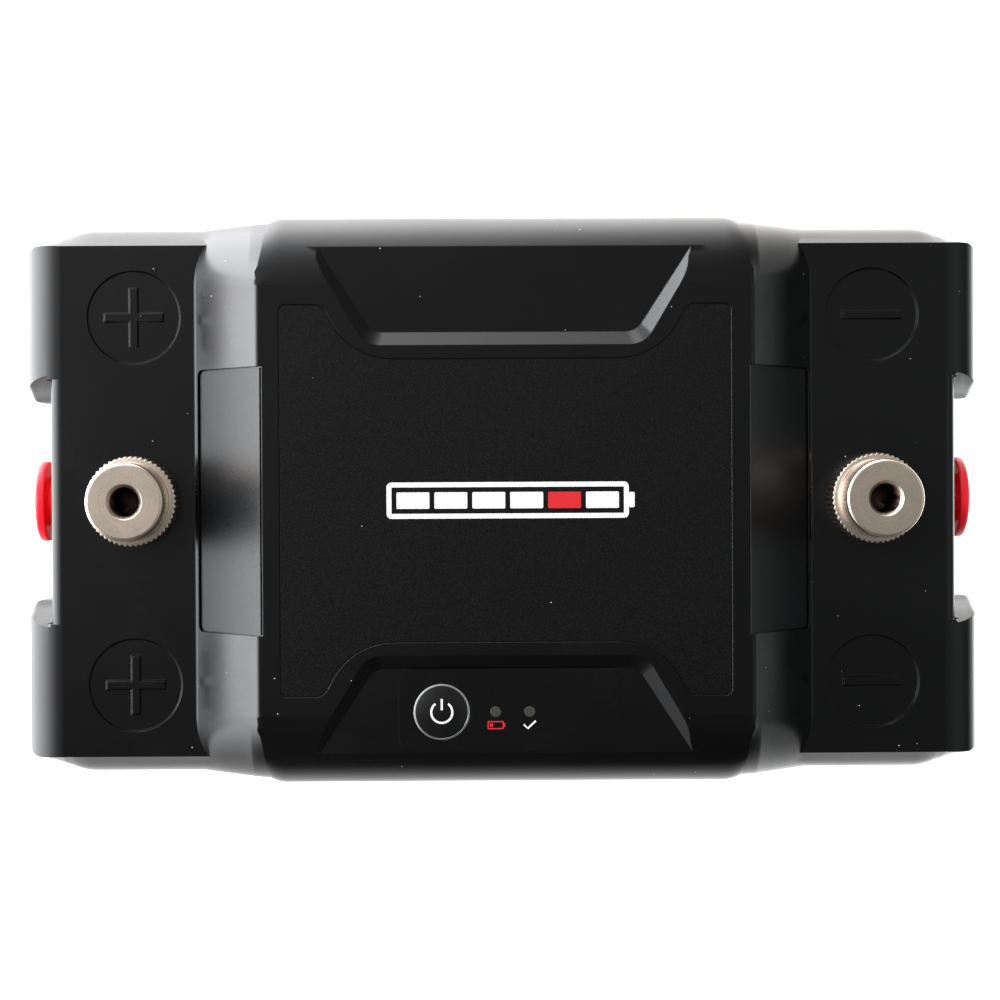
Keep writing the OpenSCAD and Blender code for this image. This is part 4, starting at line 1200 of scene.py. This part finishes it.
moulded_plastic("case_plastic", (0.012, 0.0125, 0.014), 0.42, 0.5, 0.02)
moulded_plastic("lid_plastic", (0.0006, 0.0006, 0.0008), 0.21)
film("label_film", (0.0002, 0.0002, 0.0002), 0.27, 0.0018, dust=0.4)
film("side_film", (0.001, 0.0014, 0.002), 0.36, 0.006, depth=0.03)
film("case_film", (0.02, 0.021, 0.024), 0.4, 0.012, 0.4)
moulded_plastic("panel_film", (0.0003, 0.0003, 0.0004), 0.22, 0.25, 0.004, 0.02, 0.06)
moulded_plastic("button_plastic", (0.003, 0.003, 0.003), 0.14, 0.8, 0.002, 0.02, 0.05)
soft_plastic("lens_plastic", (0.035, 0.031, 0.026), 0.3, 0.2)
plated_metal("nickel", NICKEL, 0.2)
plated_metal("bore", (0.12, 0.075, 0.065), 0.36, grain=0.5, depth=0.03)
soft_plastic("plug_red", (0.95, 0.014, 0.03), 0.36, 0.7)
plated_metal("copper", (0.86, 0.42, 0.26), 0.3, grain=0.5, depth=0.01)
plated_metal("tinned_copper", (0.72, 0.70, 0.66), 0.34, grain=0.4)
plated_metal("steel", (0.62, 0.63, 0.64), 0.3)
plated_metal("brass", (0.80, 0.60, 0.26), 0.24)
soft_plastic("cell_wrap", (0.03, 0.12, 0.42), 0.25, grain=3, depth=0.05)
film("insulation", (0.5, 0.46, 0.34), 0.5, 0.12, 0.6, 0.02)
woven_foam("foam", (0.06, 0.06, 0.066))
woven_foam("seal", (0.02, 0.02, 0.02))
circuit_board("board", (0.012, 0.11, 0.045))
soft_plastic("switch_plastic", (0.05, 0.05, 0.056), 0.45)
plated_metal("heat_sink", (0.6, 0.61, 0.63), 0.38, grain=0.8, depth=0.01)
soft_plastic("cable_red", (0.45, 0.012, 0.02), 0.4)
soft_plastic("cable_black", (0.012, 0.012, 0.012), 0.4)
soft_plastic("ribbon", (0.4, 0.4, 0.42), 0.45, grain=0.9, depth=0.05)
WHITE_INK = printed("white_ink", (0.55, 0.55, 0.54))
RED_INK = printed("red_ink", (0.4, 0.01, 0.014))
GREY_INK = printed("grey_ink", (0.28, 0.29, 0.31))
SILVER_INK = plated_metal("silver_ink", (0.62, 0.62, 0.62), 0.3)


# ---- Pieces ----

# Half length, half height, line width and count of bars of each battery pictogram
TOP_GAUGE = (28, 4.2, 1.15, 6)
TOP_GAUGE_X, TOP_GAUGE_RED = 0.5, 4
LOW_GAUGE = (1.9, 0.95, 0.28, 3)
CASE_GAUGE = (20, 11, 1.5, 5)
CASE_GAUGE_Y, CASE_SIGN_X = 12, 30
CASE_SIGN_ARM, CASE_SIGN_BAR = 7, 1.5
CASE_FRAME_X, CASE_FRAME_Y, CASE_FRAME_R, CASE_FRAME_LINE = 41, 49, 3.5, 0.5
CASE_LINE_HX, CASE_LINE_STEP, CASE_LINE_YS = 26, 5, (-18, -23, -28)
PANEL_MARK_DROP = 3.1
TICK, TICK_LINE = [(-1.4, 0.1), (-0.45, -0.8), (1.4, 0.95)], 0.42
FILM_EDGE = 0.06


def terminal_end(side, end):
    """Terminal, plug and slope film at one end of the lid."""
    x = side * POST.x
    metal = plated_metal(f"nickel_{end}", NICKEL, 0.26, (x, 0, 0), stained=PINKISH_NICKEL)
    post = terminal(f"post_{end}", x)
    replace_node(post, "battery", f"terminal_{end}", "nickel", metal)
    line_bore(post, x, MATERIALS["bore"])
    name = f"side_plug_{end}"
    replace_node(plug(f"plug_{end}", side), name, name, "plug_red")
    low, high = -SLOPE_POCKET, FILM_T - SLOPE_POCKET
    outline = slope_outline(LABEL_GAP)
    sheet = plate(f"slope_film_{end}", outline, low, high, FILM_EDGE, slope_place(side))
    replace_node(sheet, "battery", f"slope_label_{end}", "side_film")


def top_label():
    """Film on the hump with its printed battery gauge."""
    low, high = (v.z for v in mm_box("top_label"))
    sheet = plate("top_film", label_outline(LABEL_GAP), low, high, FILM_EDGE)
    replace_node(sheet, "battery", "top_label", "label_film")
    gauge, bars = battery_shapes(TOP_GAUGE_X, 0, TOP_GAUGE, high)
    finish_piece(join("label_red_bar", [bars.pop(TOP_GAUGE_RED)]), "battery", RED_INK)
    finish_piece(join("label_gauge", gauge + bars), "battery", WHITE_INK)


def control_panel():
    """Button with its prints, and a mark below each indicator lens."""
    replace_node(button_piece(), "power_button", "power_button", "button_plastic")
    ring, symbol = button_prints()
    finish_piece(ring, "power_button", SILVER_INK)
    finish_piece(symbol, "power_button", WHITE_INK)
    y, high = BUTTON.y - PANEL_MARK_DROP, mm_box("button_film")[1].z
    body, (last_bar, *spare) = battery_shapes(LENSES[0].x, y, LOW_GAUGE, high)
    for bar in spare:
        bpy.data.objects.remove(bar)
    finish_piece(join("low_mark", [*body, last_bar]), "battery", RED_INK)
    ok_mark = stroke(moved(TICK, LENSES[1].x, y), TICK_LINE, high)
    ok_mark.name = "ok_mark"
    finish_piece(ok_mark, "battery", WHITE_INK)


def case_prints(side, end):
    """Printed frame, lines, battery and polarity signs of a case label."""
    place = facing_y(side) @ Matrix.Translation((0, 0, FILM_T - CASE_LABEL_POCKET))
    body, cells = battery_shapes(0, CASE_GAUGE_Y, CASE_GAUGE, 0, place)
    lines = [frame_shape(CASE_FRAME_X, CASE_FRAME_Y, CASE_FRAME_R, CASE_FRAME_LINE, 0, place)]
    for k, y in enumerate(CASE_LINE_YS):
        line = round_box(CASE_LINE_HX - CASE_LINE_STEP * k, 0.6, 0.5)
        lines.append(flat_shape(moved(line, 0, y), 0, place))
    signs = []
    for x, plus in ((-CASE_SIGN_X, True), (CASE_SIGN_X, False)):
        sign = cross_outline(CASE_SIGN_ARM, CASE_SIGN_BAR, plus)
        signs.append(flat_shape(moved(sign, x, CASE_GAUGE_Y), 0, place))
    finish_piece(join(f"{end}_red_cell", [cells.pop(0)]), "battery", RED_INK)
    finish_piece(join(f"{end}_symbols", body + cells + signs), "battery", WHITE_INK)
    finish_piece(join(f"{end}_lines", lines), "battery", GREY_INK)


replace_node(lid_piece(), "battery", "lid", "lid_plastic")
replace_node(case_piece(), "battery", "case", "case_plastic")
terminal_end(-1, "positive")
terminal_end(1, "negative")
top_label()
control_panel()
case_prints(-1, "front")
case_prints(1, "back")


# ---- CAD parts that stay ----

BY_SLOT = {
    "case_film": "front_label back_label",
    "panel_film": "button_film",
    "lens_plastic": "lens_low lens_ok",
    "nickel": "side_terminal_positive side_terminal_negative",
    "copper": "bracket_positive bracket_negative busbar_1_2 busbar_2_3 busbar_3_4",
    "tinned_copper": "cable_lugs",
    "steel": "indicator_screws terminal_nuts tab_bolts tab_nuts cell_nuts bms_screws"
    " strap_lower strap_upper",
    "brass": "switch_plunger bms_standoffs",
    "cell_wrap": "cell_1 cell_2 cell_3 cell_4",
    "insulation": "insulator_1 insulator_2 insulator_3 mounting_plate",
    "foam": "base_pad side_foam_front side_foam_back end_foam_positive end_foam_negative",
    "seal": "lid_seal terminal_seal_positive terminal_seal_negative",
    "board": "indicator_board bms_board",
    "switch_plastic": "tact_switch",
    "heat_sink": "bms_heat_sink",
    "cable_red": "cable_positive",
    "cable_black": "cable_cell_negative cable_output_negative",
    "ribbon": "indicator_ribbon balance_leads",
}
for slot, names in BY_SLOT.items():
    for name in names.split():
        mesh = NODES[name].data
        mesh.materials.clear()
        mesh.materials.append(MATERIALS[slot])


# ---- Floor, light and camera ----

FLOOR_RADII, FLOOR_STEPS, FLOOR_DROP = (20, 900), 72, 0.2
# Ramps of the surroundings' brightness: two directions' ends, then the brightness at each
BACK_RAMP, RIGHT_RAMP = (-0.16, 0.12, 0.12, 0.38), (-0.14, 0.14, 1.2, 0.66)
FAR_RIGHT_RAMP, GROUND_RAMP = (0.5, 0.95, 1, 0.3), (-0.1, -0.6, 0, 1.2)
# A dim gap, high on the left behind the battery, and the light that is left in it
GAP_RAMPS, GAP_LIGHT = ((-0.2, -0.5), (0.2, 0.45), (0.08, 0.3)), 0.08
# Direction, sharpness and colour of each broad bright lobe
LOBES = (
    ((-0.9, 0.42, 0.04), 3, (11.2, 11.4, 11.7)),
    ((-0.3, 1, -0.2), 8, (4.6, 4.6, 4.7)),
    ((0.3, 0.8, -0.6), 8, (1.3, 1.2, 1.1)),
    ((0.6, 0, -0.8), 8, (2, 2.1, 2.1)),
    ((0.8, 0, 0.6), 6, (0.42, 0.45, 0.44)),
)
LAMP_PLACE, LAMP_SIZE, LAMP_POWER = (-0.5, 0.3, 1.3), 0.8, 22
CAMERA_PLACE = (-11.1, 4.15, DECK + 525)
CAMERA_TILT = (-0.008, -0.009, -0.005)
SENSOR, LENS, LENS_SHIFT = 36, 79.06, 0.0228


def floor():
    """Plain pale round floor."""
    n = FLOOR_STEPS
    points = [(x, y, 0) for r in FLOOR_RADII for x, y in arc(0, 0, r, 0, 360, n)[:-1]]
    faces = [tuple(range(n))] + [(j, (j + 1) % n, n + (j + 1) % n, n + j) for j in range(n)]
    obj = build("floor", points, faces)
    obj.location.z = -FLOOR_DROP * MM
    obj.visible_glossy = False
    s = Surface("floor_paper", Specular_IOR_Level=0.2)
    s.shader.inputs["Emission Color"].default_value = (1, 1, 1, 1)
    s.shader.inputs["Emission Strength"].default_value = 0.8
    colour = s.mix(s.noise(60, 2), (0.86, 0.86, 0.86), (0.9, 0.9, 0.9))
    obj.data.materials.append(s.finish(colour, s.map(s.noise(1, 2), 0.3, 0.7, 0.85, 0.95)))


def soft_light():
    """Large soft lamp over the battery. It lights pigments, but leaves no mirror image."""
    lamp = bpy.data.lights.new("softbox", "AREA")
    lamp.size = LAMP_SIZE
    lamp.energy = LAMP_POWER
    obj = bpy.data.objects.new("softbox", lamp)
    obj.location = LAMP_PLACE
    obj.rotation_euler = (-Vector(LAMP_PLACE)).to_track_quat("-Z", "Y").to_euler()
    obj.visible_glossy = False
    bpy.context.scene.collection.objects.link(obj)


class Sky(Graph):
    """Studio surroundings, as light from every direction."""

    def __init__(self):
        world = bpy.data.worlds.new("studio")
        world.use_nodes = True
        bpy.context.scene.world = world
        super().__init__(world.node_tree)
        self.direction = self.node("ShaderNodeTexCoord").outputs["Generated"]
        self.parts = self.node("ShaderNodeSeparateXYZ", Vector=self.direction).outputs

    def even_light(self):
        """Dim overhead and a pale ground below."""
        x, y, z = self.parts
        overhead = self.math("MULTIPLY", self.map(y, *BACK_RAMP), self.map(x, *RIGHT_RAMP))
        overhead = self.math("MULTIPLY", overhead, self.map(x, *FAR_RIGHT_RAMP))
        even = self.math("ADD", overhead, self.map(z, *GROUND_RAMP))
        return self.node("ShaderNodeCombineXYZ", X=even, Y=even, Z=even).outputs[0]

    def lobe(self, aim, sharp, colour):
        """Broad light round a direction."""
        dot = self.vector("DOT_PRODUCT", self.direction, Vector(aim).normalized())
        return self.vector("SCALE", colour, self.math("POWER", self.math("MAXIMUM", dot, 0), sharp))

    def gap(self):
        """Share of the light that the gap lets through."""
        x, y, z = (self.map(part, *ramp) for part, ramp in zip(self.parts, GAP_RAMPS))
        inside = self.math("MULTIPLY", self.math("MULTIPLY", x, y), z)
        return self.map(inside, 0, 1, 1, GAP_LIGHT)


def world_light():
    """Lights the scene with the sky. The camera itself sees plain white."""
    g = Sky()
    total = g.even_light()
    for lobe in LOBES:
        total = g.vector("ADD", total, g.lobe(*lobe))
    light = g.nodes["Background"]
    g.links.new(g.vector("SCALE", total, g.gap()), light.inputs["Color"])
    seen = g.node("ShaderNodeBackground", Color=(1, 1, 1, 1))
    pick = g.node("ShaderNodeMixShader")
    g.links.new(g.node("ShaderNodeLightPath").outputs["Is Camera Ray"], pick.inputs[0])
    g.links.new(light.outputs[0], pick.inputs[1])
    g.links.new(seen.outputs[0], pick.inputs[2])
    g.links.new(pick.outputs[0], g.nodes["World Output"].inputs["Surface"])


def camera():
    """Looks down on the lid from 525 mm above the decks, a little left of the middle."""
    data = bpy.data.cameras.new("camera")
    data.sensor_width, data.lens, data.shift_x = SENSOR, LENS, LENS_SHIFT
    data.clip_start, data.clip_end = 0.01, 20
    obj = bpy.data.objects.new("camera", data)
    tilt = Euler(CAMERA_TILT, "XYZ").to_matrix().to_4x4()
    obj.matrix_world = Matrix.Translation(Vector(CAMERA_PLACE) * MM) @ tilt
    bpy.context.scene.collection.objects.link(obj)
    bpy.context.scene.camera = obj


floor()
soft_light()
world_light()
camera()
bpy.context.scene.view_settings.view_transform = "Standard"
